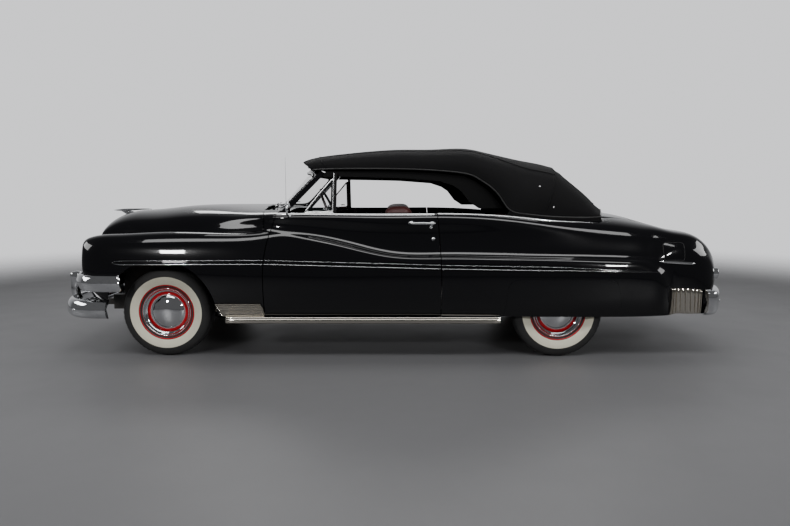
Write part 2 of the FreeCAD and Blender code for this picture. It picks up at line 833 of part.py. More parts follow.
firewall = Part.Face(Part.makePolygon(
    [Vector(wall_x, y, z) for y, z in wall_corners + wall_corners[:1]]
)).extrude(Vector(worked("firewall_thick"), 0, 0))
pillar_corners = [(wall_x + 12, 345)] + [
    (door_front_at(z) + MOVE, z) for z in (345, 600, 700, 800, 940)] + [(wall_x + 12, 940)]
pillar_top = [(wall_x - 5, 930)] + [
    (door_front_at(z) + MOVE, z) for z in (930, 1000, 1040, 1090)] + [(wall_x - 5, 1090)]
pillar = prism(pillar_corners, CABIN - 100, CABIN + 38).fuse(prism(pillar_top, CABIN - 100, CABIN - 20))
toe = Part.makeBox(21, 2 * CABIN - 220, 62, Vector(wall_x - 19.7, 110 - CABIN, worked("floor_high_toe - 30")))
brackets = []
for height in (worked("door_hinge_low"), worked("door_hinge_high")):
    for low in (height - EYE_HALF - 8.3, height + EYE_HALF + 0.3):
        corners = [Vector(x, y, low) for x, y in (
            (wall_x - 5, CABIN), (wall_x + 12, CABIN), (HINGE_X + 11, HINGE_Y), (HINGE_X - 9, HINGE_Y),
            (wall_x - 5, CABIN + 38))]
        plate = Part.Face(Part.makePolygon(corners + corners[:1])).extrude(Vector(0, 0, 8))
        brackets.append(plate.fuse(Part.makeCylinder(EYE, 8, Vector(HINGE_X, HINGE_Y, low))))
    brackets.append(Part.makeCylinder(
        PIN, 2 * EYE_HALF + 16, Vector(HINGE_X, HINGE_Y, height - EYE_HALF - 8)))
hood_lugs = []
for side in (1, -1):
    start = hood_pin.y - 12.3 if side > 0 else -hood_pin.y + 0.3
    hood_lugs.append(prism(
        [(hood_pin.x - 12, hood_pin.z - 24), (hood_pin.x + 16, hood_pin.z - 24),
         (hood_pin.x + 8, hood_pin.z + 8), (hood_pin.x - 6, hood_pin.z + 8)], start, start + 12))
    start = hood_pin.y - 1 if side > 0 else -hood_pin.y - 9.7
    hood_lugs.append(Part.makeCylinder(
        worked("lug_pin"), 10.7, Vector(hood_pin.x, start, hood_pin.z), Vector(0, 1, 0)))
cowl_left = pillar.multiFuse(brackets)
cowl_shape = strip.multiFuse(
    [right_hand(strip), sunk, firewall, cowl_left, right_hand(cowl_left), screen_frame, toe] + hood_lugs)
node("cowl", shaped("Cowl", cowl_shape))


# Wheels and tyres, each turned about its own axle
HALF_TREAD = "tread_width / 2"
TYRE = [
    ("-bead_width / 2", "bead_radius"), ("-bead_width / 2", "rim_flange_radius + 3"),
    ("-tyre_width / 2", "sidewall_radius"),
    (f"-{HALF_TREAD}", "tyre_radius - 14"), (f"-{HALF_TREAD} + 16", "tyre_radius"),
    (f"{HALF_TREAD} - 16", "tyre_radius"), (HALF_TREAD, "tyre_radius - 14"),
    ("tyre_width / 2", "sidewall_radius"), ("bead_width / 2", "rim_flange_radius + 3"),
    ("bead_width / 2", "bead_radius"),
]
RIM_OUT = "bead_width / 2 + 4"
SEAT = "bead_radius - seat_gap"
WHEEL = [
    (RIM_OUT, "rim_flange_radius"), (RIM_OUT, "bead_radius - rim_wall"),
    ("disc_out - 6", "rim_well_radius - rim_wall"), ("disc_out - 14", "disc_radius"),
    ("disc_out", "cap_radius + 8"), ("disc_out", "cap_radius"),
    ("disc_out + cap_rise / 3", "cap_radius - 12"), ("disc_out + cap_rise * 0.72", "cap_radius * 0.62"),
    ("disc_out + cap_rise * 0.93", "cap_radius * 0.33"), ("disc_out + cap_rise", "0"),
    ("disc_out - 14", "0"), ("disc_out - 14", "spindle_radius + running_gap"),
    ("disc_out - 72", "spindle_radius + running_gap"), ("disc_out - 72", "hub_radius"),
    ("disc_out - 40", "hub_radius"), ("disc_out - 40", "drum_radius - drum_wall"),
    ("disc_out - 28 - drum_depth", "drum_radius - drum_wall"),
    ("disc_out - 28 - drum_depth", "drum_radius"), ("disc_out - 28", "drum_radius"),
    ("disc_out - 28", "rim_well_radius - rim_wall"), ("-30", "rim_well_radius - rim_wall"),
    (f"-({RIM_OUT})", "bead_radius - rim_wall"), (f"-({RIM_OUT})", "rim_flange_radius"),
    ("-bead_width / 2 - seat_gap", "rim_flange_radius"), ("-bead_width / 2 - seat_gap", SEAT),
    ("-24", "rim_well_radius"), ("24", "rim_well_radius"),
    ("bead_width / 2 + seat_gap", SEAT), ("bead_width / 2 + seat_gap", "rim_flange_radius"),
]
WHEELS = {
    "front_left": ("front_axle", "front_track_half", 1),
    "front_right": ("front_axle", "front_track_half", -1),
    "rear_left": ("front_axle - wheelbase", "rear_track_half", 1),
    "rear_right": ("front_axle - wheelbase", "rear_track_half", -1),
}
for corner, (axle, out, side) in WHEELS.items():
    tyre = turned(f"Tyre_{corner}", TYRE)
    wheel = turned(f"Wheel_{corner}", WHEEL)
    for item in (tyre, wheel):
        if side < 0:
            item.Placement.Rotation = Rotation(Vector(0, 0, 1), 180)
        place(item, axle, f"{side} * {out}", "tyre_radius")
    node(f"tyre_{corner}", tyre)
    node(f"wheel_{corner}", wheel)

# Knuckles: a kingpin post, a spindle into the hub and a steering arm
KING = "front_track_half - kingpin_in"
post = rod("Kingpin", "kingpin_radius + 6", "2 * kingpin_half + 28 - 2 * seat_gap",
           ("front_axle", KING, "tyre_radius - kingpin_half - 14 + seat_gap"))
pin = rod("KingpinEnds", "kingpin_radius", "2 * kingpin_half + 28 + 2 * arm_thick",
          ("front_axle", KING, "tyre_radius - kingpin_half - 14 - arm_thick"))
spindle = rod("Spindle", "spindle_radius", "kingpin_in + disc_out - 16",
              ("front_axle", KING, "tyre_radius"), "Y")
backing = rod("Backing", "drum_radius - drum_wall - 6", "4",
              ("front_axle", "front_track_half + disc_out - 28 - drum_depth", "tyre_radius"), "Y")
arm = block("SteeringArm", ("front_axle - 170", "front_axle"), (f"{KING} - 12", f"{KING} + 8"),
            ("tyre_radius - 66", "tyre_radius - 46"))
knuckle = joined("KnuckleLeft", [post, pin, spindle, backing, arm])
node("knuckle_left", knuckle)
node("knuckle_right", mirrored("KnuckleRight", knuckle))

# Frame: two box rails that kick up over the axles, cross members and the crossed braces
RAIL = [
    ("frame_front", "front_rail_low"), ("front_kick_end", "front_rail_low"),
    ("front_kick_start", "rail_low"), ("kick_start", "rail_low"),
    ("kick_top_front", "rail_low + kick_height"), ("kick_top_rear", "rail_low + kick_height"),
    ("kick_end", "rear_rail_low"), ("frame_rear", "rear_rail_low"),
]
rail_outline = RAIL + [(along, f"{low} + rail_depth") for along, low in reversed(RAIL)]
rail = padded("Rail", "XZ_Plane", rail_outline, "rail_width")
place(rail, "0", "rail_in + rail_width / 2", "0")


def cross_member(name, middle, low, deep="rail_depth - 30", wide=90):
    return block(name, (f"{middle} - {wide} / 2", f"{middle} + {wide} / 2"),
                 ("-rail_in - 10", "rail_in + 10"), (f"{low} + 2", f"{low} + {deep}"))


members = [
    cross_member("MemberFront", "frame_front - 60", "front_rail_low"),
    cross_member("MemberRadiator", "2117", "front_rail_low", 139.7),
    cross_member("MemberGearbox", "790", "rail_low", 36),
    cross_member("MemberSeat", "-560", "rail_low", 36),
    cross_member("MemberKick", "kick_top_rear + 60", "rail_low + kick_height", 60),
    cross_member("MemberRear", "frame_rear + 60", "rear_rail_low"),
]
braces = []
for number, (start, end) in enumerate([(620, -480), (-480, 620)]):
    brace = padded(f"Brace{number}", "XY_Plane", [
        (str(start + 60), "rail_in + 8"), (str(start - 60), "rail_in + 8"),
        (str(end - 60), "-rail_in - 8"), (str(end + 60), "-rail_in - 8")], "30")
    place(brace, "0", "0", "rail_low + 17")
    braces.append(brace)
node("frame", joined("Frame", [rail, mirrored("RailRight", rail)] + members + braces))

# Front suspension: a cross member with two arms and a coil spring each side
CROSS_LOW = "tyre_radius - kingpin_half - arm_thick - 14"
seat = block("SpringSeat", ("front_axle - 75", "front_axle + 75"), ("-rail_in + 1", "rail_in - 1"),
             (CROSS_LOW, "front_rail_low - seat_gap"))
lower_arm = block("LowerArm", ("front_axle - arm_half", "front_axle + arm_half"),
                  ("arm_root", f"{KING} + 26"), (CROSS_LOW, f"{CROSS_LOW} + arm_thick"))
upper_arm = block("UpperArm", ("front_axle - arm_half", "front_axle + arm_half"),
                  ("rail_in + rail_width + 0.3", f"{KING} + 26"),
                  ("tyre_radius + kingpin_half + 14", "tyre_radius + kingpin_half + 14 + arm_thick"))
eyes = rod("KingpinEyes", "kingpin_radius + seat_gap", "400", ("front_axle", KING, "150"))
spring = rod("Spring", "spring_radius", "2 * kingpin_half + 28 - 1",
             ("front_axle", "front_track_half - spring_in", f"{CROSS_LOW} + arm_thick - 1"))
arms = less("ArmsLeft", joined("ArmsSolid", [lower_arm, upper_arm, spring]), eyes)
node("front_suspension", joined("FrontSuspension", [seat, arms, mirrored("ArmsRight", arms)]))

# Rear axle: tube, differential and leaf springs hung from the rails
tube = rod("AxleTube", "38", "2 * rear_track_half - 2 * 96",
           ("front_axle - wheelbase", "-rear_track_half + 96", "tyre_radius"), "Y")
stub = rod("AxleStub", "spindle_radius", "2 * rear_track_half + 2 * disc_out - 32",
           ("front_axle - wheelbase", "-rear_track_half - disc_out + 16", "tyre_radius"), "Y")
gear = rod("Differential", "118", "200", ("front_axle - wheelbase", "-100", "tyre_radius"), "Y")
SPRING_OUT = "rail_in + rail_width + 40"
leaf_line = [(-640, 316), (-320, 282), (0, 262), (320, 282), (640, 308)]
leaf_corners = [(f"front_axle - wheelbase + {x}", str(z)) for x, z in leaf_line]
leaf_corners += [(along, f"{z} + 30") for along, z in reversed(leaf_corners)]
leaf = padded("Leaf", "XZ_Plane", leaf_corners, "58")
place(leaf, "0", SPRING_OUT, "0")
hanger_width = ("rail_in + rail_width + seat_gap", f"{SPRING_OUT} + 24")
hangers = [
    block("HangerFront", ("front_axle - wheelbase + 600", "front_axle - wheelbase + 640"),
          hanger_width, ("250", "330")),
    block("HangerRear", ("front_axle - wheelbase - 640", "front_axle - wheelbase - 600"),
          hanger_width, ("320", "470")),
    block("SpringSaddle", ("front_axle - wheelbase - 45", "front_axle - wheelbase + 45"),
          (f"{SPRING_OUT} - 32", f"{SPRING_OUT} + 32"), ("280", "tyre_radius")),
]
springs = joined("SpringLeft", [leaf] + hangers)
node("rear_axle", joined("RearAxle", [tube, stub, gear, springs, mirrored("SpringRight", springs)]))

# Engine, gearbox, shaft, exhaust and tank
engine_blocks = [
    block("EngineBlock", ("1190", "1900"), ("-270", "270"), ("430", "960")),
    block("BellHousing", ("1030", "1191"), ("-170", "170"), ("300", "560")),
    block("Gearbox", ("746", "1031"), ("-105", "105"), ("rail_low + 36 + seat_gap", "338")),
    block("EngineMount", ("front_axle - 50", "front_axle + 30"), ("-200", "200"),
          ("front_rail_low", "431")),
]
node("engine", joined("Engine", engine_blocks))
node("driveshaft", rod("Shaft", "36", "745.7 + wheelbase - front_axle - 118.5",
                       ("front_axle - wheelbase + 118.5", "0", "tyre_radius - 40"), "X"))
node("radiator", block("Radiator", ("2085", "2150"), ("-360", "360"), ("front_rail_low + 140", "930")))
node("fuel_tank", block("Tank", ("-2240", "-1800"), ("-355", "355"),
                        ("360", "rear_pan_low - floor_thick - seat_gap")))
pipe_points = [
    (1240, -300, 440), (1020, -250, 300), (880, -250, 182), (-640, -250, 182), (-740, -250, 270),
    (-1060, -250, 270), (-1140, -235, 545), (-1570, -260, 545), (-1700, -400, 310), (-1900, -400, 300),
    (-2440, -400, 300),
]
pipe = straight_tube([Vector(*p) for p in pipe_points], 24)
muffler = Part.makeCylinder(62, 300, Vector(-1060, -250, 270), Vector(1, 0, 0))
node("exhaust", shaped("Exhaust", pipe.fuse(muffler)))

# Floor: toe board, flat floor, step up over the rear axle and the wheel housings
front_floor = padded("FrontFloor", "XZ_Plane", [
    ("firewall_x - 20", "floor_high_toe"), ("floor_front", "floor_low"), ("rear_pan_front", "floor_low"),
    ("rear_pan_front", "rear_pan_low"), ("rear_pan_front + floor_thick", "rear_pan_low"),
    ("rear_pan_front + floor_thick", "floor_low + floor_thick"),
    ("floor_front - 6", "floor_low + floor_thick"), ("firewall_x - 20", "floor_high_toe + 30")],
    "2 * (body_half - door_thick) - 20")
rear_floor = block("RearFloor", ("trunk_rear", "rear_pan_front + floor_thick"),
                   ("-rear_floor_half", "rear_floor_half"), ("rear_pan_low - floor_thick", "rear_pan_low"))
REAR_AXLE = "front_axle - wheelbase"
housing_out = rod("HousingOut", "housing_radius + 8", "housing_deep + 8",
                  (REAR_AXLE, "rear_floor_half - 8", "tyre_radius"), "Y")
housing_in = rod("HousingIn", "housing_radius", "housing_deep + 20",
                 (REAR_AXLE, "rear_floor_half", "tyre_radius"), "Y")
housing_floor = block("HousingFloor", (f"{REAR_AXLE} - 500", f"{REAR_AXLE} + 500"),
                      ("rear_floor_half - 20", "rear_floor_half + 300"), ("-200", "tyre_radius + 60"))
housing = less("HousingShell", housing_out, joined("HousingTools", [housing_in, housing_floor]))
wing_corners = [Vector(x, y, worked("rear_pan_low - floor_thick")) for x, y in (
    (-1560, 645), (-1560, 950), (-1860, 950), (-1990, 936), (-2060, 892), (-2200, 886), (-2290, 872),
    (-2340, 645))]
wing_floor = Part.Face(Part.makePolygon(wing_corners + wing_corners[:1])).extrude(
    Vector(0, 0, worked("floor_thick")))
wing_floor = wing_floor.cut(Part.makeCylinder(
    worked("housing_radius + 2"), 400, Vector(REAR, 640, HUB), Vector(0, 1, 0)))
for shift in (0, worked("seat_gap")):
    wing_floor = wing_floor.cut(quarter_wall.translated(Vector(0, -shift, 0)))
wing_left = shaped("WingLeft", wing_floor)
bulkhead = block("Bulkhead", ("-1130", "-1118"), ("-rear_floor_half + 9", "rear_floor_half - 9"),
                 ("rear_pan_low - 5", "1030"))
node("floor_pan", joined("Floor", [
    front_floor, rear_floor, housing, mirrored("HousingRight", housing),
    wing_left, mirrored("WingRight", wing_left), bulkhead]))
sill = padded("SillLeft", "YZ_Plane", [
    ("sill_in", "sill_low"), ("sill_out", "sill_low"), ("sill_out", "sill_high"),
    ("body_half - door_thick - 9", "sill_high"), ("body_half - door_thick - 9", "floor_low - seat_gap"),
    ("sill_in", "floor_low - seat_gap")], "door_front - sill_rear")
place(sill, "(door_front + sill_rear) / 2", "0", "0")
outriggers = [
    block(f"Outrigger{number}", (f"{x} - 30", f"{x} + 30"),
          ("rail_in + rail_width + seat_gap", "sill_in + 5"), ("sill_low", "rail_low + rail_depth"))
    for number, x in enumerate((820, 60, -480))]
sill_left = joined("SillSet", [sill] + outriggers)
node("sill_left", sill_left)
node("sill_right", mirrored("SillRight", sill_left))

# Dashboard, column and steering wheel
dash = padded("Dash", "XZ_Plane", [
    ("dash_rear", "dash_low"), ("dash_rear - 30", "dash_high - 60"), ("dash_rear", "dash_high - 14"),
    ("dash_rear + 60", "dash_high"), ("dash_front - 90", "dash_high"), ("dash_front - 45", "dash_high - 40"),
    ("dash_front", "dash_high - 50"), ("dash_front", "dash_low + 60")],
    "2 * dash_half")
slope = math.radians(worked("column_slope"))
axis = Vector(-math.cos(slope), 0, math.sin(slope))
wheel_at = Vector(worked("wheel_at_x"), worked("wheel_at_y"), worked("wheel_at_z"))
column = Part.makeCylinder(
    worked("column_radius + 9"), worked("column_length"), wheel_at - axis * 110, axis * -1)
bore = Part.makeCylinder(
    worked("column_radius + running_gap"), 90, wheel_at - axis * 180, axis)
doc.recompute()
node("dashboard", shaped("Dashboard", dash.Shape.fuse(column).cut(bore)))
doc.removeObject(dash.Name)
ring = Part.makeTorus(worked("wheel_ring_radius"), worked("wheel_ring_wire"), Vector(0, 0, 0), Vector(0, 0, 1))
spoke_length = 2 * worked("wheel_ring_radius")
spokes = [Part.makeBox(26, spoke_length, 10, Vector(-13, -spoke_length / 2, -14))]
hub = Part.makeCylinder(34, 40, Vector(0, 0, -44), Vector(0, 0, 1))
shaft = Part.makeCylinder(worked("column_radius"), 130, Vector(0, 0, -174), Vector(0, 0, 1))
wheel_shape = ring.multiFuse(spokes + [hub, shaft])
wheel_shape.Placement = FreeCAD.Placement(wheel_at, Rotation(Vector(0, 0, 1), axis))
node("steering_wheel", shaped("SteeringWheel", wheel_shape))

# Seats: one bench ahead of the other
front_seat = padded("FrontSeat", "XZ_Plane", [
    ("-130", "floor_seat"), ("-212", "1080"), ("-185", "1128"), ("-25", "1133"), ("5", "1100"),
    ("100", "720"), ("550", "745"), ("582", "700"), ("550", "floor_seat")], "2 * seat_half")
place(front_seat, "front_seat_x", "0", "0")
node("front_seat", front_seat)
rear_seat = padded("RearSeat", "XZ_Plane", [
    ("335", "floor_seat"), ("138", "floor_seat"), ("138", "rear_pan_low + seat_gap"),
    ("-225", "rear_pan_low + seat_gap"), ("-320", "1010"), ("-290", "1050"), ("-190", "1050"),
    ("-155", "1015"), ("-100", "735"), ("330", "745"), ("360", "705")], "2 * rear_seat_half")
place(rear_seat, "rear_seat_x", "0", "0")
node("rear_seat", rear_seat)

# Convertible top: a cloth skin over its bows, from the header to the deck
TOP_ROWS = [
    # along and up at the middle, then along, out and up at the edge, and how square the arch is
    (768, 1466, 652, 668, 1424, 2.8), (764, 1496, 642, 684, 1428, 2.8),
    (738, 1520, 600, 692, 1431, 2.8), (624, 1548, 520, 702, 1434, 2.9),
    (411, 1575, 340, 710, 1436, 3), (38, 1607, 0, 716, 1434, 3), (-263, 1610, -300, 720, 1422, 3),
    (-529, 1619, -536, 726, 1396, 3), (-700, 1594, -640, 736, 1350, 2.9),
    (-800, 1573, -727, 747, 1290, 2.8), (-930, 1546, -800, 758, 1205, 2.7),
    (-1060, 1521, -862, 776, 1122, 2.6), (-1180, 1499, -960, 786, 1094, 2.6),
    (-1267, 1476, -1090, 784, 1080, 2.6), (-1330, 1438, -1230, 778, 1070, 2.5),
    (-1480, 1326, -1380, 770, 1066, 2.4), (-1640, 1212, -1480, 764, 1066, 2.3),
    (-1740, 1140, -1535, 757, 1068, 2.1), (-1791, 1104, -1560, 750, 1070, 2),
]
TOP_COLUMNS = 16


def arch(row, share):
    """A point of a bow's arch, from the middle, 0, to its edge, 1, as a rounded square."""
    along, up, edge_along, edge_out, edge_up, square = row
    angle = math.pi / 2 * abs(share)
    rise = math.cos(angle) ** (2 / square) if abs(share) < 1 else 0
    out = math.sin(angle) ** (2 / square) if share else 0
    side = 1 if share >= 0 else -1
    return Vector(edge_along + (along - edge_along) * rise, side * edge_out * out,
                  edge_up + (up - edge_up) * rise)


def cloth(number, share, depth, ahead=0):
    """A point set in from a row of the cloth by a depth, and ahead of it along the cloth."""
    before = TOP_ROWS[max(0, number - 1)]
    after = TOP_ROWS[min(len(TOP_ROWS) - 1, number + 1)]
    along = (arch(after, share) - arch(before, share)).normalize()
    around = arch(TOP_ROWS[number], share - 0.01) - arch(TOP_ROWS[number], share + 0.01)
    return arch(TOP_ROWS[number], share) - along.cross(around).normalize() * depth - along * ahead


def top_grid(depth):
    """The cloth's points, each set in by a depth towards the cabin's middle."""
    shares = [1 - 2 * j / TOP_COLUMNS for j in range(TOP_COLUMNS + 1)]
    return [[cloth(number, share, depth) for share in shares] for number in range(len(TOP_ROWS))]


top_shape = between(top_grid(0), top_grid(worked("top_wall")))
node("convertible_top", shaped("Top", top_shape))

# Bows and side rails under the cloth
RAIL_HIGH = [(541.4, 1415.5), (340, 1418), (0, 1414), (-300, 1402), (-520, 1378), (-620, 1334),
             (-705, 1272), (-775, 1196), (-828, 1132)]
RAIL_LOW = [(-640, 1132), (-566, 1180), (-500, 1266), (-440, 1306), (-334, 1341), (-28, 1364),
            (300, 1372), (567.4, 1375.5)]
side_rail = prism(RAIL_HIGH + RAIL_LOW, 655, 690)
BOW_END = 0.84
BOW_ROOM = {5: 1.3, 7: 2, 10: 1.3, 13: 2.2}


def bow(number):
    """A bow across the car: a slat that follows a row of the cloth from below."""
    faces = [
        [[cloth(number, BOW_END * (1 - j / 7), worked("top_wall") + deep, ahead) for ahead in (24, 0, -24)]
         for j in range(15)] for deep in (BOW_ROOM[number], 21)
    ]
    return between(*faces)


def leg(number):
    """A leg that carries a bow's end on the side rail."""
    end = cloth(number, BOW_END, worked("top_wall") + 12)
    return Part.makeBox(20, 14, end.z - 1380, Vector(end.x - 10, end.y - 15, 1380))


legs = [leg(number) for number in (5, 7)]
legs += [right_hand(item) for item in legs]
carried = side_rail.multiFuse([right_hand(side_rail), bow(5), bow(7)] + legs)
node("top_frame", shaped("TopFrame", Part.makeCompound([carried, bow(10), bow(13)])))


# Bumpers, carried round the corners on smooth paths
def crescent(at_point, low, high, deep, thick):
    """A bumper blade's outline at its end: a bowed plate, thin at its edges."""
    x, y, _ = at_point
    middle = (low + high) / 2
    edge = Vector(0, 1, 0)
    outer = Part.Arc(Vector(x, y, low), Vector(x, y, middle) + edge * deep, Vector(x, y, high))
    inner = Part.Arc(
        Vector(x, y - thick, high), Vector(x, y - thick, middle) + edge * deep, Vector(x, y - thick, low))
    ends = [Part.LineSegment(Vector(x, y, high), Vector(x, y - thick, high)),
            Part.LineSegment(Vector(x, y - thick, low), Vector(x, y, low))]
    return Part.Wire([outer.toShape(), ends[0].toShape(), inner.toShape(), ends[1].toShape()])


bumper_x = worked("bumper_front")
front_path = both_sides([
    Vector(2172, 940, 0), Vector(2330, 925, 0), Vector(2470, 850, 0), Vector(2565, 690, 0),
    Vector(bumper_x - 16, 420, 0), Vector(bumper_x - 2, 200, 0), Vector(bumper_x, 0, 0)])
front_blade = swept(crescent((2172, 940, 0), worked("bumper_low"), worked("bumper_high"), 16, 14), front_path)


def side_at(x, z):
    """How far out the fender's skin stands at a place along the car and a height."""
    low, high = 0.2, 2.4
    for _ in range(20):
        t = (low + high) / 2
        if skin(crossing(straight_edge(x), t), t).z < z:
            low = t
        else:
            high = t
    return skin(crossing(straight_edge(x), low), low).y


WING_DEEP = 10
wing_half = [
    Vector(x, max(side_at(x, 560), side_at(x, 640)) + WING_DEEP + 2.4, 0) for x in (2040, 2130, 2220, 2300, 2340)]
wing_half += [Vector(2400, 850, 0), Vector(2455, 735, 0), Vector(2505, 520, 0), Vector(2532, 260, 0),
              Vector(2538, 0, 0)]
wing_start = wing_half[0]
wing = swept(crescent((wing_start.x, wing_start.y, 0), 520, 640, 6, WING_DEEP), both_sides(wing_half))
guards = [
    prism([(2560, 380), (2604, 396), (2626.5, 470), (2618, 560), (2598, 596), (2548, 592), (2546, 430)],
          515, 585)]
guards.append(right_hand(guards[0]))
iron_start = worked("frame_front + seat_gap")
irons = [Part.makeBox(2601 - iron_start, 50, 50, Vector(iron_start, worked("rail_in") + 10, 332))]
irons.append(right_hand(irons[0]))
PLATE_HOLES = worked("plate_spacing / 2")


def plate_holes(x, z):
    """Tools for the two holes that a number plate's bracket bolts to."""
    return [Part.makeCylinder(worked("plate_hole_radius"), 80, Vector(x - 40, y, z), Vector(1, 0, 0))
            for y in (-PLATE_HOLES, PLATE_HOLES)]


front_bumper = front_blade.multiFuse(guards + irons)
for tool in plate_holes(bumper_x, worked("(bumper_low + bumper_high) / 2")):
    front_bumper = front_bumper.cut(tool)
node("front_bumper", shaped("FrontBumper", front_bumper))
rear_path = both_sides([
    Vector(-2322, 930, 0), Vector(-2440, 905, 0), Vector(-2535, 790, 0), Vector(-2592, 560, 0),
    Vector(worked("bumper_rear") + 24, 280, 0), Vector(worked("bumper_rear") + 18, 0, 0)])
REAR_BLADE = (306, 490)
rear_blade = swept(crescent((-2322, 930, 0), *REAR_BLADE, 18, 14), rear_path)
iron_end = worked("frame_rear - seat_gap")
rear_irons = [Part.makeBox(iron_end + 2600, 50, 70, Vector(-2600, worked("rail_in") + 10, 390))]
rear_irons.append(right_hand(rear_irons[0]))
rear_bumper = rear_blade.multiFuse(rear_irons)
for tool in plate_holes(worked("bumper_rear"), sum(REAR_BLADE) / 2):
    rear_bumper = rear_bumper.cut(tool)
node("rear_bumper", shaped("RearBumper", rear_bumper))

TOOTH_PITCH = 60
TOOTH_THICK = 14


def tooth(y):
    """An upright grille tooth: a blade with a bowed, rounded front edge."""
    low, top = Vector(2330, y, 520), Vector(2338, y, 770)
    back = [Vector(2290, y, 770), Vector(2290, y, 520)]
    bow = Part.Arc(low, Vector(2390, y, 640), top).toShape()
    runs = [Part.LineSegment(a, b).toShape() for a, b in ((top, back[0]), (back[0], back[1]), (back[1], low))]
    blade = Part.Face(Part.Wire([bow] + runs)).extrude(Vector(0, TOOTH_THICK, 0))
    front = [edge for edge in blade.Edges if edge.Curve.TypeId == "Part::GeomCircle"]
    return blade.makeFillet(TOOTH_THICK * 0.4, front).translated(Vector(0, -TOOTH_THICK / 2, 0))


# Grille: the upper bar with its wings, upright teeth behind it and the surround
teeth = [tooth(number * TOOTH_PITCH) for number in range(-8, 9)]
surround = Part.makeBox(14, 1240, 330, Vector(2280, -620, 500))
stays = []
for side in (1, -1):
    stays.append(Part.makeBox(215, 20, 40, Vector(2288, side * 515 - 10, 560)))
    stays.append(Part.makeBox(41.7, 14, 60, Vector(2240.3, side * 443 - 7, 560)))
node("grille", shaped("Grille", wing.multiFuse(teeth + stays + [surround])))

# Lamps
lamps = []
for side in (1, -1):
    bucket = Part.makeCylinder(92, 90, Vector(2285, side * 745, 765), Vector(1, 0, 0))
    lens = Part.makeSphere(190, Vector(2192, side * 745, 765)).common(
        Part.makeCylinder(106.3, 60, Vector(2340, side * 745, 765), Vector(1, 0, 0)))
    lamps.append(bucket.fuse(lens))
node("headlamps", shaped("Headlamps", Part.makeCompound(lamps)))
tail_lamps = []
for side in (1, -1):
    lamp_at = Vector(TAIL_LAMP.x, side * TAIL_LAMP.y, TAIL_LAMP.z)
    lamp = Part.makeCylinder(worked("tail_lamp_radius"), 110, lamp_at, Vector(-1, 0, 0))
    dome = Part.makeSphere(80, lamp_at + Vector(-30, 0, 0))
    tail_lamps.append(lamp.common(dome.fuse(Part.makeBox(30, 200, 200, lamp_at + Vector(-30, -100, -100)))))
node("taillights", shaped("Taillights", Part.makeCompound(tail_lamps)))

# Chrome guards and mouldings along the bottom edge
def guard_front_edge(point):
    return point.x - 1285 - 0.46 * (point.z - 279)


def guard_rear_edge(point):
    return point.x - max(DOOR_FRONT + 9, 969 + 0.47 * (point.z - 332))


guard_front = panel(guard_front_edge, guard_rear_edge, 0, 0.85, 6, 4, 4, 6.4)
guard_rear = panel(straight_edge(-2060), straight_edge(-2296), 0, 1.75, 7, 6, 6, 8.4)
node("stone_guards", shaped("StoneGuards", Part.makeCompound([
    guard_front, right_hand(guard_front), guard_rear, right_hand(guard_rear)])))
strip_left = padded("RockerLeft", "YZ_Plane", [
    ("sill_out + seat_gap", "272"), ("sill_out + 22", "276"), ("sill_out + 27", "300"),
    ("sill_out + 22", "318"), ("sill_out + seat_gap", "318")], "1285 + 782")
place(strip_left, "(1285 - 782) / 2", "0", "0")
node("rocker_left", strip_left)
node("rocker_right", mirrored("RockerRight", strip_left))

# Hood ornament, vent windows and mirror
ornament = prism([(2156, 1094), (2250, 1080), (2330, 1062), (2370, 1072), (2470, 1094), (2493, 1104),
                  (2460, 1112), (2425, 1118), (2300, 1122), (2180, 1112)], -16, 16)
for lift in (0, worked("seat_gap")):
    ornament = ornament.cut(hood_shape.translated(Vector(0, 0, lift)))
node("hood_ornament", shaped("Ornament", ornament))
VENT = [(470, 1090), (694, 1090), (694, 1112), (500, 1352), (486, 1358), (486, 1404), (470, 1404)]
VENT_HOLE = [(486, 1118), (670, 1118), (486, 1340)]
VENT_PANE = [(486.3, 1118.3), (669.3, 1118.3), (486.3, 1339.1)]
vent_frame = prism(VENT, CABIN + 2, CABIN + 16).cut(prism(VENT_HOLE, CABIN, CABIN + 20))
for lift in (0, worked("seat_gap")):
    vent_frame = vent_frame.cut(door_shape.translated(Vector(0, 0, lift)))
vent = Part.makeCompound([vent_frame, prism(VENT_PANE, CABIN + 7, CABIN + 11)])
node("vent_window_left", shaped("VentLeft", vent))
node("vent_window_right", shaped("VentRight", right_hand(vent)))
mirror_head = Part.makeCylinder(58, 22, Vector(800, 885, 1130), Vector(1, 0, 0))
mirror_post = Part.makeCylinder(8, 90, Vector(780, 850, 1060), Vector(0.2, 0.3, 0.6))
node("door_mirror", shaped("Mirror", mirror_head.fuse(mirror_post).cut(door_shape)))

# Every feature is sound, and each sub-part is one sound shape, before anything is written
doc.recompute()
for item in doc.Objects:
    if "Invalid" in item.State or "Error" in item.State:
        raise RuntimeError(f"{item.Name} failed: {item.State}")
for label, item in nodes.items():
    if item.Shape.isNull() or not item.Shape.isValid() or item.Shape.Volume <= 0:
        raise RuntimeError(f"{label} is not one sound shape")
os.makedirs("parts", exist_ok=True)
for label, item in nodes.items():
    item.Shape.exportStep(f"parts/{label}.step")
print(len(nodes), "sub-parts written")
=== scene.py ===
import math

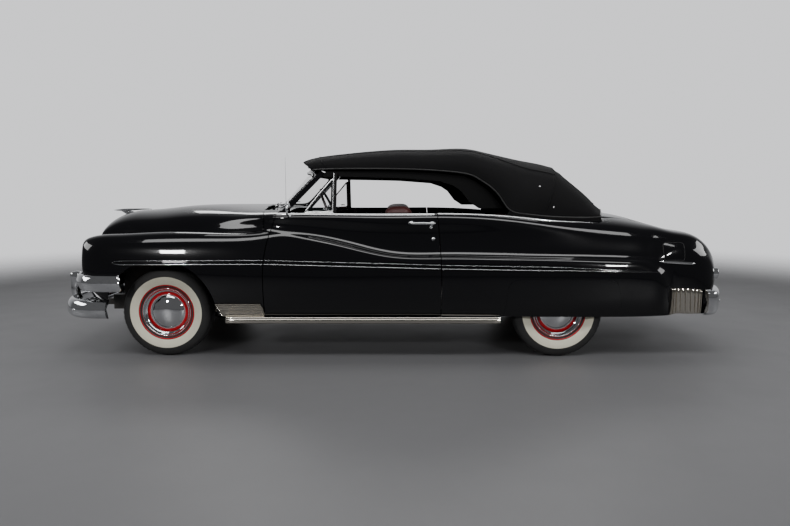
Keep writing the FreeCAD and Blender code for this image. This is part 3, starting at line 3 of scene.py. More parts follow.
import bmesh
import bpy
import numpy as np
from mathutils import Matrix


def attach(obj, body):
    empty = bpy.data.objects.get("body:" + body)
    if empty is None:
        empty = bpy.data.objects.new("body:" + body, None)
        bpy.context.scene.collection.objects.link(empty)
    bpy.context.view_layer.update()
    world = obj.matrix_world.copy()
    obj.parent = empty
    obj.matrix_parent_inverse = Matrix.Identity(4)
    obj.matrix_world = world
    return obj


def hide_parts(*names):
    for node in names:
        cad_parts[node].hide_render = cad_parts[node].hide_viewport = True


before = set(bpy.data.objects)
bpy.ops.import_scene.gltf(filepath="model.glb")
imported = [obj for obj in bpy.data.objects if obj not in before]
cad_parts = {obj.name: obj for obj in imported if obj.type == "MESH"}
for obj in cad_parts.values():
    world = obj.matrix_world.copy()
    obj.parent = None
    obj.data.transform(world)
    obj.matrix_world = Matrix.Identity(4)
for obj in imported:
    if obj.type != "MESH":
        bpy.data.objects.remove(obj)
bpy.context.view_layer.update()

# Where the photographer stood: level with the car's belt, square to its left side,
# with the camera tipped down a little.
camera = bpy.data.objects.new("camera", bpy.data.cameras.new("camera"))
bpy.context.scene.collection.objects.link(camera)
camera.location = (-0.002, 5.656, 1.262)
camera.rotation_euler = (math.radians(90 - 6.376), 0, math.radians(180.145))
camera.data.sensor_width = 36
camera.data.lens = 29.18
camera.data.clip_end = 200
bpy.context.scene.camera = camera


# The studio: a plain pale floor, a pale room and soft lamps overhead and to the sides.
# Materials are made by one small class; its wires turn sums in Python into Math nodes.
class Wire:
    """One output in a material's nodes; sums, products and powers of wires add Math nodes."""

    def __init__(self, finish, socket):
        self.finish = finish
        self.socket = socket

    def sum_of(self, operation, first, second=0.0):
        return self.finish.node("Math", {"operation": operation}, {0: first, 1: second})

    def __add__(self, other):
        return self.sum_of("ADD", self, other)

    def __radd__(self, other):
        return self.sum_of("ADD", other, self)

    def __sub__(self, other):
        return self.sum_of("SUBTRACT", self, other)

    def __rsub__(self, other):
        return self.sum_of("SUBTRACT", other, self)

    def __mul__(self, other):
        return self.sum_of("MULTIPLY", self, other)

    def __rmul__(self, other):
        return self.sum_of("MULTIPLY", other, self)

    def __truediv__(self, other):
        return self.sum_of("DIVIDE", self, other)

    def __pow__(self, other):
        return self.sum_of("POWER", self, other)

    def sine(self):
        return self.sum_of("SINE", self)

    def size(self):
        return self.sum_of("ABSOLUTE", self)

    def above(self, level, blur):
        """0 well below a level and 1 well above it, with a soft step of that width."""
        return self.finish.node("MapRange", {"interpolation_type": "SMOOTHSTEP"}, {
            "Value": self, "From Min": level - blur / 2, "From Max": level + blur / 2})


class Finish:
    """One material: a Principled shader with constants on its sockets, and nodes for what varies."""

    def __init__(self, name, color, rough, **constants):
        self.material = bpy.data.materials.new(name)
        self.material.use_nodes = True
        self.tree = self.material.node_tree
        self.shader = self.tree.nodes["Principled BSDF"]
        self.set(**{"Base Color": color, "Roughness": rough})
        self.set(**{key.replace("_", " "): amount for key, amount in constants.items()})

    def feed(self, socket, amount):
        if isinstance(amount, Wire):
            self.tree.links.new(amount.socket, socket)
        elif socket.type == "RGBA" and len(amount) == 3:
            socket.default_value = (*amount, 1)
        else:
            socket.default_value = amount

    def set(self, **sockets):
        for name, amount in sockets.items():
            self.feed(self.shader.inputs[name], amount)

    def node(self, kind, settings=None, inputs=None, out=0):
        """Any node: its type, its settings, its inputs by name or number, and the output to use."""
        made = self.tree.nodes.new("ShaderNode" + kind)
        for key, amount in (settings or {}).items():
            if key == "stops":
                ramp = made.color_ramp.elements
                for number, (place, color) in enumerate(amount):
                    stop = ramp[number] if number < 2 else ramp.new(place)
                    stop.position, stop.color = place, (*color, 1)
            else:
                setattr(made, key, amount)
        for key, amount in (inputs or {}).items():
            self.feed(made.inputs[key], amount)
        return Wire(self, made.outputs[out])

    def where(self):
        """A point's place on the car, in metres."""
        return self.node("TexCoord", out="Object")

    def along(self):
        """The piece's own two directions, in metres, from its UV map."""
        return self.node("TexCoord", out="UV")

    def parts(self, vector):
        """The three numbers of a vector."""
        split = self.tree.nodes.new("ShaderNodeSeparateXYZ")
        self.feed(split.inputs[0], vector)
        return [Wire(self, split.outputs[number]) for number in range(3)]

    def noise(self, scale, detail=3, at=None, rough=0.5):
        return self.node("TexNoise", None, {
            "Vector": at or self.where(), "Scale": scale, "Detail": detail, "Roughness": rough})

    def mix(self, share, first, second):
        """A blend of two colours."""
        return self.node("Mix", {"data_type": "RGBA"}, {0: share, 6: first, 7: second}, out=2)

    def bump(self, height, deep, strength=1.0):
        """Feeds the normal with a relief: height from 0 to 1, deep in metres."""
        self.set(Normal=self.node("Bump", None, {
            "Height": height, "Distance": deep, "Strength": strength}))


floor_finish = Finish("studio_floor", (0.14, 0.14, 0.145), 0.5)
floor_along, floor_across = floor_finish.parts(floor_finish.where())[:2]
floor_reach = (floor_along * floor_along + floor_across * floor_across) ** 0.5
floor_finish.set(Roughness=0.44 + 0.12 * floor_finish.noise(3.0), Alpha=1 - floor_reach.above(8.4, 5.4))
floor_mesh = bpy.data.meshes.new("studio_floor")
floor_mesh.from_pydata([(-40, -40, 0), (40, -40, 0), (40, 40, 0), (-40, 40, 0)], [], [(0, 1, 2, 3)])
floor_mesh.materials.append(floor_finish.material)
studio_floor = bpy.data.objects.new("studio_floor", floor_mesh)
bpy.context.scene.collection.objects.link(studio_floor)

room = bpy.data.worlds.new("studio_room")
room.use_nodes = True
bpy.context.scene.world = room
room_nodes = room.node_tree
backdrop = room_nodes.nodes["Background"]
seen = room_nodes.nodes.new("ShaderNodeLightPath")
strength = room_nodes.nodes.new("ShaderNodeMapRange")
far_side = room_nodes.nodes.new("ShaderNodeTexCoord")
direction = room_nodes.nodes.new("ShaderNodeSeparateXYZ")
reflected = room_nodes.nodes.new("ShaderNodeMapRange")
for key, amount in (("From Min", -0.95), ("From Max", -0.25), ("To Min", 0.62), ("To Max", 0.1)):
    reflected.inputs[key].default_value = amount
room_nodes.links.new(far_side.outputs["Generated"], direction.inputs[0])
room_nodes.links.new(direction.outputs["Y"], reflected.inputs["Value"])
room_nodes.links.new(reflected.outputs[0], strength.inputs["To Min"])
strength.inputs["To Max"].default_value = 1.1
room_nodes.links.new(seen.outputs["Is Camera Ray"], strength.inputs["Value"])
room_nodes.links.new(strength.outputs[0], backdrop.inputs["Strength"])
backdrop.inputs["Color"].default_value = (0.97, 0.975, 1, 1)

LAMPS = {
    # place, half turn about X and turn about Z in degrees, length, depth and power in watts
    "lamp_over_left": ((0.0, 2.7, 3.6), (-38, 0), 6.4, 0.9, 105),
    "lamp_over_right": ((0.0, -2.7, 3.6), (38, 0), 6.4, 0.9, 110),
    "lamp_over_roof": ((0.0, 0.0, 4.6), (0, 0), 5.0, 1.4, 60),
    "lamp_near_front": ((3.6, 6.3, 2.9), (-68, 0), 0.45, 0.5, 95),
    "lamp_near_rear": ((-3.9, 6.3, 2.9), (-68, 0), 0.45, 0.5, 95),
    "lamp_ahead": ((6.2, 1.2, 2.6), (-58, -90), 3.0, 1.2, 60),
    "lamp_behind": ((-6.2, 1.2, 2.6), (-58, 90), 3.0, 1.2, 60),
}
for name, (place, (tip, turn), long, deep, watts) in LAMPS.items():
    lamp = bpy.data.objects.new(name, bpy.data.lights.new(name, "AREA"))
    lamp.data.shape = "RECTANGLE"
    lamp.data.size, lamp.data.size_y, lamp.data.energy = long, deep, watts
    lamp.location = place
    lamp.rotation_euler = (math.radians(tip), 0, math.radians(turn))
    bpy.context.scene.collection.objects.link(lamp)


# Frame rails, suspension, axle, floor and sills: pressed and welded steel, brushed with
# satin black paint that has gathered road dust, bolted up before the body went on.
def dusty(name, color, dust, rough=0.5, metal=0.0):
    """A painted or bare metal that has dulled: the colour and gloss wander with slow noise."""
    made = Finish(name, color, rough, Metallic=metal)
    grime = made.noise(7, 6, rough=0.62).above(0.52, 0.3)
    made.set(**{"Base Color": made.mix(grime, color, dust), "Roughness": rough - 0.12 + 0.32 * grime})
    made.bump(made.noise(260, 3), 0.0006, 0.5)
    return made


def dress(finish, *nodes):
    """Gives carried-over nodes a finish."""
    for name in nodes:
        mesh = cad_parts[name].data
        mesh.materials.clear()
        mesh.materials.append(finish.material)


chassis_black = dusty("chassis_black", (0.018, 0.018, 0.019), (0.07, 0.062, 0.052))
dress(chassis_black, "frame", "front_suspension", "rear_axle", "knuckle_left", "knuckle_right", "driveshaft",
      "fuel_tank", "sill_left", "sill_right", "floor_pan")
radiator_core = dusty("radiator_core", (0.02, 0.02, 0.02), (0.05, 0.045, 0.04))
along, up = radiator_core.parts(radiator_core.where())[1:]
fins = ((up * 1200).sine() * 0.5 + 0.5) * ((along * 420).sine() * 0.5 + 0.5)
radiator_core.bump(fins, 0.002)
dress(radiator_core, "radiator")

# Engine, gearbox and exhaust: cast iron sprayed dull green-grey, and bare pipe that has
# turned brown with heat, slung under the floor on straps.
engine_paint = dusty("engine_paint", (0.06, 0.085, 0.075), (0.05, 0.045, 0.04), 0.45)
dress(engine_paint, "engine")
pipe_steel = dusty("pipe_steel", (0.28, 0.26, 0.24), (0.2, 0.11, 0.06), 0.45, 0.8)
dress(pipe_steel, "exhaust")


# Tyres: black rubber cross-ply tyres with broad cream sidewalls, moulded with five ribs
# and small side notches, seated on the rims.
MM = 0.001


def grid_faces(rows, columns, wrap_rows=False, wrap_columns=False):
    """The four-cornered faces of a grid of points, joined round where it wraps."""
    down = np.arange(rows if wrap_rows else rows - 1)
    over = np.arange(columns if wrap_columns else columns - 1)
    i, j = np.meshgrid(down, over, indexing="ij")
    next_i, next_j = (i + 1) % rows, (j + 1) % columns
    corners = [i * columns + j, next_i * columns + j, next_i * columns + next_j, i * columns + next_j]
    return np.stack(corners, axis=-1).reshape(-1, 4)


def together(*parts):
    """Several sets of points and faces as one set."""
    points, faces, count = [], [], 0
    for part_points, part_faces in parts:
        points.append(part_points)
        faces.append(part_faces + count)
        count += len(part_points)
    return np.concatenate(points), np.concatenate(faces)


def other_side(part):
    """The same part on the car's right: y turns over."""
    points, faces = part
    return points * (1, -1, 1), faces


SIDES = (("left", lambda part: part), ("right", other_side))


def piece(name, part, finish, body, sharp=38, stands_for=()):
    """A finished piece from points in millimetres and faces: doubles merged, faces turned outwards."""
    points, faces = part
    mesh = bpy.data.meshes.new(name)
    mesh.vertices.add(len(points))
    mesh.vertices.foreach_set("co", (points * MM).astype(np.float32).ravel())
    mesh.loops.add(faces.size)
    mesh.loops.foreach_set("vertex_index", faces.astype(np.int32).ravel())
    mesh.polygons.add(len(faces))
    mesh.polygons.foreach_set("loop_start", np.arange(0, faces.size, 4, dtype=np.int32))
    mesh.update(calc_edges=True)
    shape = bmesh.new()
    shape.from_mesh(mesh)
    bmesh.ops.remove_doubles(shape, verts=shape.verts, dist=0.00002)
    bmesh.ops.recalc_face_normals(shape, faces=shape.faces)
    shape.to_mesh(mesh)
    shape.free()
    mesh.shade_smooth()
    mesh.set_sharp_from_angle(angle=math.radians(sharp))
    mesh.materials.append(finish.material)
    made = bpy.data.objects.new(name, mesh)
    bpy.context.scene.collection.objects.link(made)
    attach(made, body)
    if stands_for:
        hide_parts(*stands_for)
    return made


def curve_through(points, count, closed=False):
    """Points spread evenly in share along a smooth curve through the given ones (Catmull-Rom)."""
    points = np.asarray(points, float)
    if closed:
        padded = np.concatenate([points[-1:], points, points[:2]])
    else:
        padded = np.concatenate([2 * points[:1] - points[1:2], points, 2 * points[-1:] - points[-2:-1]])
    spans = len(padded) - 3
    place = np.linspace(0, spans, count, endpoint=not closed)
    start = np.minimum(place.astype(int), spans - 1)
    share = (place - start)[:, None]
    a, b, c, d = (padded[start + k] for k in range(4))
    return 0.5 * (2 * b + (c - a) * share + (2 * a - 5 * b + 4 * c - d) * share ** 2
                  + (3 * b - a - 3 * c + d) * share ** 3)


def spun(profile, centre, segments, axis="y", closed=True, ripple=None):
    """A profile of (along the axis, radius) pairs carried round an axis through a centre.

    ripple may add to the radius, as a function of the turn and of the pair's number.
    """
    profile = np.asarray(profile, float)
    turn = np.linspace(0, 2 * math.pi, segments, endpoint=False)[:, None]
    reach = profile[None, :, 1] + (ripple(turn, np.arange(len(profile))[None, :]) if ripple else 0 * turn)
    flat = np.broadcast_to(profile[None, :, 0], reach.shape)
    first, second = reach * np.cos(turn), reach * np.sin(turn)
    order = {"y": (first, flat, second), "x": (flat, first, second), "z": (first, second, flat)}[axis]
    points = np.stack(order, axis=-1).reshape(-1, 3) + np.asarray(centre, float)
    return points, grid_faces(segments, len(profile), True, closed)


AXLES = {
    "front_left": (1763.5, 743, 1), "front_right": (1763.5, -743, -1),
    "rear_left": (-1233.5, 762, 1), "rear_right": (-1233.5, -762, -1),
}
HUB_HIGH = 340
SIDE_LINE = [(68.3, 191), (71, 204), (78, 222), (86, 245), (89.5, 265), (89, 284), (84, 303), (77, 318),
             (69, 329)]
SHOULDER = [(62, 334.5), (56, 337.5)]
RIBS = [(46, 339), (42, 339.5), (40.5, 333), (35.5, 333), (34, 339.8), (20, 340), (18.5, 333.5),
        (13.5, 333.5), (12, 340), (0, 340)]
side_curve = curve_through(SIDE_LINE, 17)
half = np.concatenate([side_curve, SHOULDER, RIBS])
tyre_profile = np.concatenate([half, (half * (-1, 1))[-2::-1]])


def notches(turn, number):
    """The shoulders are notched, every other step round the tyre."""
    wave = np.sign(np.sin(54 * turn))
    shoulder = (np.abs(np.abs(tyre_profile[number, 0]) - 60) < 8) * 3.5
    return -shoulder * (wave > 0.2)


def round_hub(finish, x):
    """A point's distance from a wheel's axle, in metres."""
    across, out, up = finish.parts(finish.where())
    return ((across - x * MM) ** 2 + (up - HUB_HIGH * MM) ** 2) ** 0.5


def rubber(name, hub_x):
    """Black rubber with a cream band on the sidewall; both are a little chalky and scuffed."""
    made = Finish(name, (0.022, 0.022, 0.023), 0.62)
    reach = round_hub(made, hub_x)
    band = reach.above(0.214, 0.0012) * (1 - reach.above(0.2745, 0.0015))
    worn = made.noise(38, 5)
    black = made.mix(worn, (0.014, 0.014, 0.015), (0.036, 0.035, 0.034))
    cream = made.mix(worn, (0.86, 0.83, 0.68), (0.78, 0.74, 0.58))
    made.set(**{"Base Color": made.mix(band, black, cream), "Roughness": 0.48 + 0.3 * worn})
    rings = (reach * 2600).sine() * 0.5 + 0.5
    made.bump(rings * 0.4 + made.noise(420, 2) * 0.6, 0.0006, 0.6)
    return made


RUBBER = {True: rubber("tyre_rubber_front", 1763.5), False: rubber("tyre_rubber_rear", -1233.5)}
for corner, (hub_x, hub_y, side) in AXLES.items():
    tyre = spun(tyre_profile, (hub_x, hub_y, HUB_HIGH), 216, ripple=notches)
    piece(f"tyre_{corner}_cover", tyre, RUBBER[corner.startswith("front")], f"wheel_{corner}", 30,
          [f"tyre_{corner}"])

# Wheels: pressed steel discs and rims in gloss red, a bright trim ring clipped in the rim and
# a domed hub cap sprung over the nuts, with an iron brake drum behind.
def enamel(name, color, rough=0.32):
    """Gloss paint under a clear coat, with a trace of orange peel."""
    made = Finish(name, color, rough, Coat_Weight=1.0, Coat_Roughness=0.03, Specular_IOR_Level=0.05)
    mottle = made.noise(5, 4)
    deeper = tuple(amount * 0.8 for amount in color)
    made.set(**{"Base Color": made.mix(mottle, color, deeper), "Roughness": rough - 0.04 + 0.08 * mottle})
    made.bump(made.noise(420, 1), 0.00002, 0.25)
    return made


def plated(name, color=(0.80, 0.81, 0.825), rough=0.05):
    """Polished plate: bright metal with faint wiping marks."""
    made = Finish(name, color, rough, Metallic=1.0)
    marks = made.noise(24, 6, rough=0.7)
    made.set(**{"Base Color": made.mix(marks.above(0.62, 0.2), color, tuple(c * 0.88 for c in color)),
                "Roughness": rough * 0.6 + 0.12 * (marks ** 3)})
    made.bump(made.noise(60, 2), 0.00003, 0.3)
    return made


wheel_red = enamel("wheel_red", (0.6, 0.008, 0.018))
chrome = plated("chrome")
drum_iron = dusty("drum_iron", (0.06, 0.055, 0.05), (0.14, 0.08, 0.05), 0.6, 0.6)
RIM_LINE = [(71.5, 212.5), (76, 211), (77, 207), (73.5, 204), (68, 203), (66.5, 191), (64, 184),
            (52, 180.5), (30, 177.8), (-30, 177.8), (-52, 181), (-67.8, 187), (-68.2, 208), (-72, 208),
            (-72, 183), (-56, 176), (-30, 171), (30, 171), (52, 174.5), (62, 178), (65, 184), (66, 196)]
DISC_LINE = [(34, 172), (30, 166), (33, 158), (38, 149), (42, 140), (44, 132), (43, 118), (36, 110),
             (30, 112), (36, 128), (36, 138), (32, 148), (26, 157), (24, 166), (27, 173)]
RING_LINE = [(70.5, 186.5), (73, 184.5), (72.5, 181), (67, 177.5), (58, 173), (50, 167.5), (45.5, 161.5),
             (43.5, 158), (43, 160.5), (47, 167), (55, 174.5), (63, 180), (68, 184)]
CAP_LINE = [(37, 128), (38, 133.5), (41.5, 135), (44.5, 133), (44, 128.5), (46, 124), (52, 115), (58.5, 102),
            (64.5, 86), (69.5, 67), (73, 46), (75, 24), (75.6, 0)]
DRUM_LINE = [(14, 0), (14, 140), (-40, 140), (-40, 128), (2, 128), (2, 46), (-30, 42), (-30, 20.1),
             (28, 20.1), (28, 0)]
for corner, (hub_x, hub_y, side) in AXLES.items():
    centre = (hub_x, 0, HUB_HIGH)

    def at_hub(profile, closed=True):
        """A wheel's part: spun about the axle, with outwards away from the car."""
        shape, faces = spun(profile, centre, 96, closed=closed)
        return shape * (1, side, 1) + (0, hub_y, 0), faces

    body = f"wheel_{corner}"
    rim = together(at_hub(curve_through(RIM_LINE, 44, True)), at_hub(curve_through(DISC_LINE, 30, True)))
    piece(f"{body}_rim", rim, wheel_red, body, 30, [body])
    piece(f"{body}_trim_ring", at_hub(curve_through(RING_LINE, 39, True)), chrome, body, 30)
    cap = at_hub(np.concatenate([curve_through(CAP_LINE, 37), [(70, 0), (34, 0), (34, 124)]]), True)
    piece(f"{body}_cap", cap, chrome, body, 30)
    piece(f"{body}_drum", at_hub(DRUM_LINE, False), drum_iron, body, 30)


# The body's skin: ten lines that run from the nose to the tail, joined by smooth curves.
# They are the lower edge, the tuck-under, the widest line, the upper side, the fender's crown,
# the foot of the crown, the flank, the shoulder, the top between, and the middle line.
FRONT, REAR = 1763.5, -1233.5
MIDDLE = 9
NOSE = [
    (598, 745, 655), (604, 822, 688), (608, 853, 745), (608, 838, 828), (604, 745, 875),
    (561, 575, 845), (621, 510, 868), (656, 390, 883), (680, 200, 898), (688, 0, 905),
]
FRONT_SECTIONS = [
    (336, [(900, 400), (945, 500), (962, 620), (953, 780), (845, 942),
           (555, 885), (475, 960), (400, 1045), (220, 1098), (0, 1108)]),
    (0, [(900, 330), (948, 450), (967, 620), (955, 790), (850, 955),
         (605, 915), (535, 990), (460, 1075), (250, 1130), (0, 1141)]),
    (-413, [(900, 330), (948, 450), (968, 620), (952, 790), (872, 946),
            (705, 933), (645, 1005), (565, 1092), (300, 1142), (0, 1153)]),
    (-776, [(900, 330), (948, 450), (968, 620), (950, 790), (905, 925),
            (865, 965), (845, 1030), (790, 1100), (420, 1143), (0, 1154)]),
    (-1263, [(900, 330), (948, 450), (968, 610), (955, 755), (925, 878),
             (885, 908), (865, 1000), (834, 1102), (440, 1145), (0, 1154)]),
    (-1725, [(900, 330), (948, 450), (967, 600), (962, 705), (942, 782),
             (905, 815), (875, 960), (838, 1102), (450, 1140), (0, 1150)]),
]
REAR_SECTIONS = [
    (900, [(900, 330), (948, 450), (967, 600), (963, 695), (945, 770),
           (905, 805), (874, 960), (838, 1104), (450, 1138), (0, 1148)]),
    (407, [(900, 325), (948, 450), (967, 600), (963, 690), (945, 763),
           (905, 800), (870, 950), (818, 1084), (450, 1130), (0, 1142)]),
    (0, [(900, 322), (948, 450), (967, 600), (963, 685), (947, 755),
         (905, 792), (865, 930), (782, 1048), (440, 1112), (0, 1130)]),
    (-447, [(900, 322), (948, 450), (965, 600), (960, 680), (942, 743),
            (900, 780), (860, 900), (752, 1024), (420, 1082), (0, 1097)]),
    (-617, [(899, 325), (945, 450), (961, 595), (954, 682), (933, 735),
            (894, 777), (857, 890), (752, 1003), (410, 1055), (0, 1066)]),
]
BULGE_END = [
    (-757, 896, 330), (-752, 938, 450), (-742, 950, 585), (-708, 943, 675), (-684, 918, 730),
    (-684, 889, 786), (-684, 853, 887), (-688, 752, 994), (-688, 410, 1033), (-688, 0, 1043),
]
TAIL_SIDE = [
    (-830, 886, 335), (-828, 900, 450), (-825, 905, 570), (-808, 905, 665), (-778, 902, 746),
    (-774, 888, 812), (-774, 852, 896), (-774, 752, 983), (-774, 410, 1002), (-774, 0, 1011),
]
TAIL_SECTION = [
    (-867, 886, 345), (-867, 898, 450), (-867, 903, 570), (-867, 903, 665), (-867, 898, 760),
    (-867, 883, 840), (-867, 845, 905), (-867, 750, 964), (-867, 410, 974), (-867, 0, 981),
]
TAIL = [
    (-1097, 872, 345), (-1137, 850, 435), (-1167, 820, 482), (-1192, 785, 498), (-1212, 745, 500),
    (-1232, 700, 500), (-1258, 620, 500), (-1288, 480, 500), (-1316, 250, 500), (-1327, 0, 500),
]
CLOSING_STEPS = 4
CLOSING_POWER = 0.8


def row_of(axle, points):
    """One row of ten points, from distances off an axle."""
    return np.array(points, float) + (axle, 0, 0)


def closing(base, end, step):
    """A row of a rounded end, which turns from a base row to an end row by sine and cosine."""
    angle = math.pi / 2 * step / CLOSING_STEPS
    left = math.cos(angle) ** CLOSING_POWER if step < CLOSING_STEPS else 0
    return end + (base - end) * (1 - math.sin(angle), left, left)


front_rows = [row_of(FRONT, [(x, *pair) for pair in pairs]) for x, pairs in FRONT_SECTIONS]
rear_rows = [row_of(REAR, [(x, *pair) for pair in pairs]) for x, pairs in REAR_SECTIONS]
last_rows = [row_of(REAR, points) for points in (BULGE_END, TAIL_SIDE, TAIL_SECTION)]
nose_end, tail_end = row_of(FRONT, NOSE), row_of(REAR, TAIL)
nose_rows = [closing(front_rows[0], nose_end, step) for step in range(CLOSING_STEPS, 0, -1)]
tail_rows = [closing(last_rows[-1], tail_end, step) for step in range(1, CLOSING_STEPS + 1)]
ROWS = np.array(nose_rows + front_rows + rear_rows + last_rows + tail_rows)


def bend_matrix(knots):
    """The matrix that turns a natural cubic spline's heights into its second slopes at the knots."""
    count = len(knots)
    gaps = np.diff(knots)
    left, right = np.eye(count), np.zeros((count, count))
    for i in range(1, count - 1):
        left[i, i - 1:i + 2] = gaps[i - 1], 2 * (gaps[i - 1] + gaps[i]), gaps[i]
        right[i, i - 1:i + 2] = 6 / gaps[i - 1], -6 / gaps[i - 1] - 6 / gaps[i], 6 / gaps[i]
    return np.linalg.solve(left, right)


def weights(knots, where):
    """For a cubic spline: the span of each place, and the four weights of its heights and slopes."""
    i = np.clip(np.searchsorted(knots, where, side="right") - 1, 0, len(knots) - 2)
    gap = knots[i + 1] - knots[i]
    a = (knots[i + 1] - where) / gap
    b = 1 - a
    return i, a, b, (a ** 3 - a) * gap ** 2 / 6, (b ** 3 - b) * gap ** 2 / 6


ROW_GAPS = np.linalg.norm(np.diff(ROWS, axis=0), axis=2).mean(axis=1) / 1000
STATIONS = np.concatenate([[0], np.cumsum(ROW_GAPS)])
ROW_BENDS = np.tensordot(bend_matrix(STATIONS), ROWS, axes=1)
KEYS = np.arange(MIDDLE + 1.0)
KEY_BENDS = bend_matrix(KEYS)


def skin(s, t):
    """The skin's point at s along the body and t around it: a spline of splines, mirrored past the middle."""
    s, t = np.broadcast_arrays(np.asarray(s, float), np.asarray(t, float))
    shape = s.shape
    s, t = s.ravel(), t.ravel()
    around = np.where(t > MIDDLE, 2 * MIDDLE - t, t)
    i, a, b, p, q = (part[:, None, None] if part.dtype.kind == "f" else part for part in weights(STATIONS, s))
    section = a * ROWS[i] + b * ROWS[i + 1] + p * ROW_BENDS[i] + q * ROW_BENDS[i + 1]
    bends = np.einsum("ij,njk->nik", KEY_BENDS, section)
    j, a, b, p, q = (part[:, None] if part.dtype.kind == "f" else part for part in weights(KEYS, around))
    n = np.arange(len(s))
    point = a * section[n, j] + b * section[n, j + 1] + p * bends[n, j] + q * bends[n, j + 1]
    point[:, 1] *= np.where(t > MIDDLE, -1, 1)
    return point.reshape(shape + (3,))


def outward(s, t):
    """The skin's outward direction, from its two slopes."""
    step = 0.002
    along = skin(np.minimum(STATIONS[-1], s + step), t) - skin(np.maximum(0, s - step), t)
    around = skin(s, t + step) - skin(s, np.maximum(0, t - step))
    direction = np.cross(along, around)
    return direction / np.linalg.norm(direction, axis=-1, keepdims=True)


def crossing(edge, t):
    """How far along each line t an edge lies, by halving; the edge is a sum that changes sign there."""
    t = np.asarray(t, float)
    near, far = np.zeros_like(t), np.full_like(t, STATIONS[-1])
    for _ in range(30):
        middle = (near + far) / 2
        behind = edge(skin(middle, t)) < 0
        far = np.where(behind, middle, far)
        near = np.where(behind, near, middle)
    return (near + far) / 2


def door_front_edge(point):
    return point[..., 0] - 987 + 80 * (np.maximum(0, point[..., 2] - 600) / 460) ** 2.2


def door_rear_edge(point):
    return point[..., 0] + 333 - 32 * (np.maximum(0, point[..., 2] - 600) / 510) ** 2


def hood_rear_edge(point):
    return point[..., 0] - 1060 + 60 * (point[..., 1] / 865) ** 2


def moved(edge, x):
    """The same edge, further forward."""
    return lambda point: edge(point) - x


def straight_edge(x):
    return lambda point: point[..., 0] - x


def level_edge(z):
    return lambda point: point[..., 2] - z


def nose(point):
    return np.full(point.shape[:-1], -1.0)


def tail(point):
    return np.full(point.shape[:-1], 1.0)


def spread(front, rear, low, high, rows, columns):
    """The places (s, t) of a panel between two edges and two lines, closer together at its rims."""
    u = 0.5 - 0.5 * np.cos(np.linspace(0.12, math.pi - 0.12, rows + 1))
    u = (u - u[0]) / (u[-1] - u[0])
    v = np.linspace(0, 1, columns + 1)
    low_at = low(u) if callable(low) else np.full_like(u, low)
    high_at = high(u) if callable(high) else np.full_like(u, high)
    t = low_at[:, None] + (high_at - low_at)[:, None] * v[None, :]
    s = crossing(front, t) * (1 - u[:, None]) + crossing(rear, t) * u[:, None]
    return s, t


def rim_of(rows, columns, first=0):
    """The numbers of a grid's outer points, once round."""
    number = np.arange(rows * columns).reshape(rows, columns) + first
    return np.concatenate([number[0, :-1], number[:-1, -1], number[-1, :0:-1], number[:0:-1, 0]])


def walled(*grids):
    """A closed wall: the first grid is its face, the last its back, and rims of any between join them."""
    rows, columns = grids[0].shape[:2]
    face = grid_faces(rows, columns)
    loops, points, faces, count = [], [], [], 0
    for number, grid in enumerate(grids):
        flat = grid.reshape(-1, 3)
        whole = number in (0, len(grids) - 1)
        loops.append(rim_of(rows, columns, count) if whole else np.arange(2 * (rows + columns) - 4) + count)
        points.append(flat if whole else flat[rim_of(rows, columns)])
        if whole:
            faces.append(face + count if number == 0 else face[:, ::-1] + count)
        count += len(points[-1])
    for first, second in zip(loops, loops[1:]):
        faces.append(np.stack([first, np.roll(first, -1), np.roll(second, -1), second], axis=-1))
    return np.concatenate(points), np.concatenate(faces)


def rolled(made, width=1.6):
    """Softens a panel's edges as pressed metal has them."""
    edge = made.modifiers.new("rolled_edge", "BEVEL")
    edge.width = width * MM
    edge.segments = 2
    edge.limit_method = "ANGLE"
    edge.angle_limit = math.radians(50)
    edge.harden_normals = True
    return made


def pressed(front, rear, low, high, wall, rows, columns):
    """A pressed panel of the skin, as thick as its wall all over."""
    s, t = spread(front, rear, low, high, rows, columns)
    outer, direction = skin(s, t), outward(s, t)
    return walled(outer, outer - direction * wall)


body_black = enamel("body_black", (0.002, 0.002, 0.003), 0.16)

# Front fenders: deep steel pressings from the headlamp's ring to the door, open over the
# wheel with a turned flange, bolted to the cowl and the inner panels.
ARCH = 418
FOOT_LINE = 5


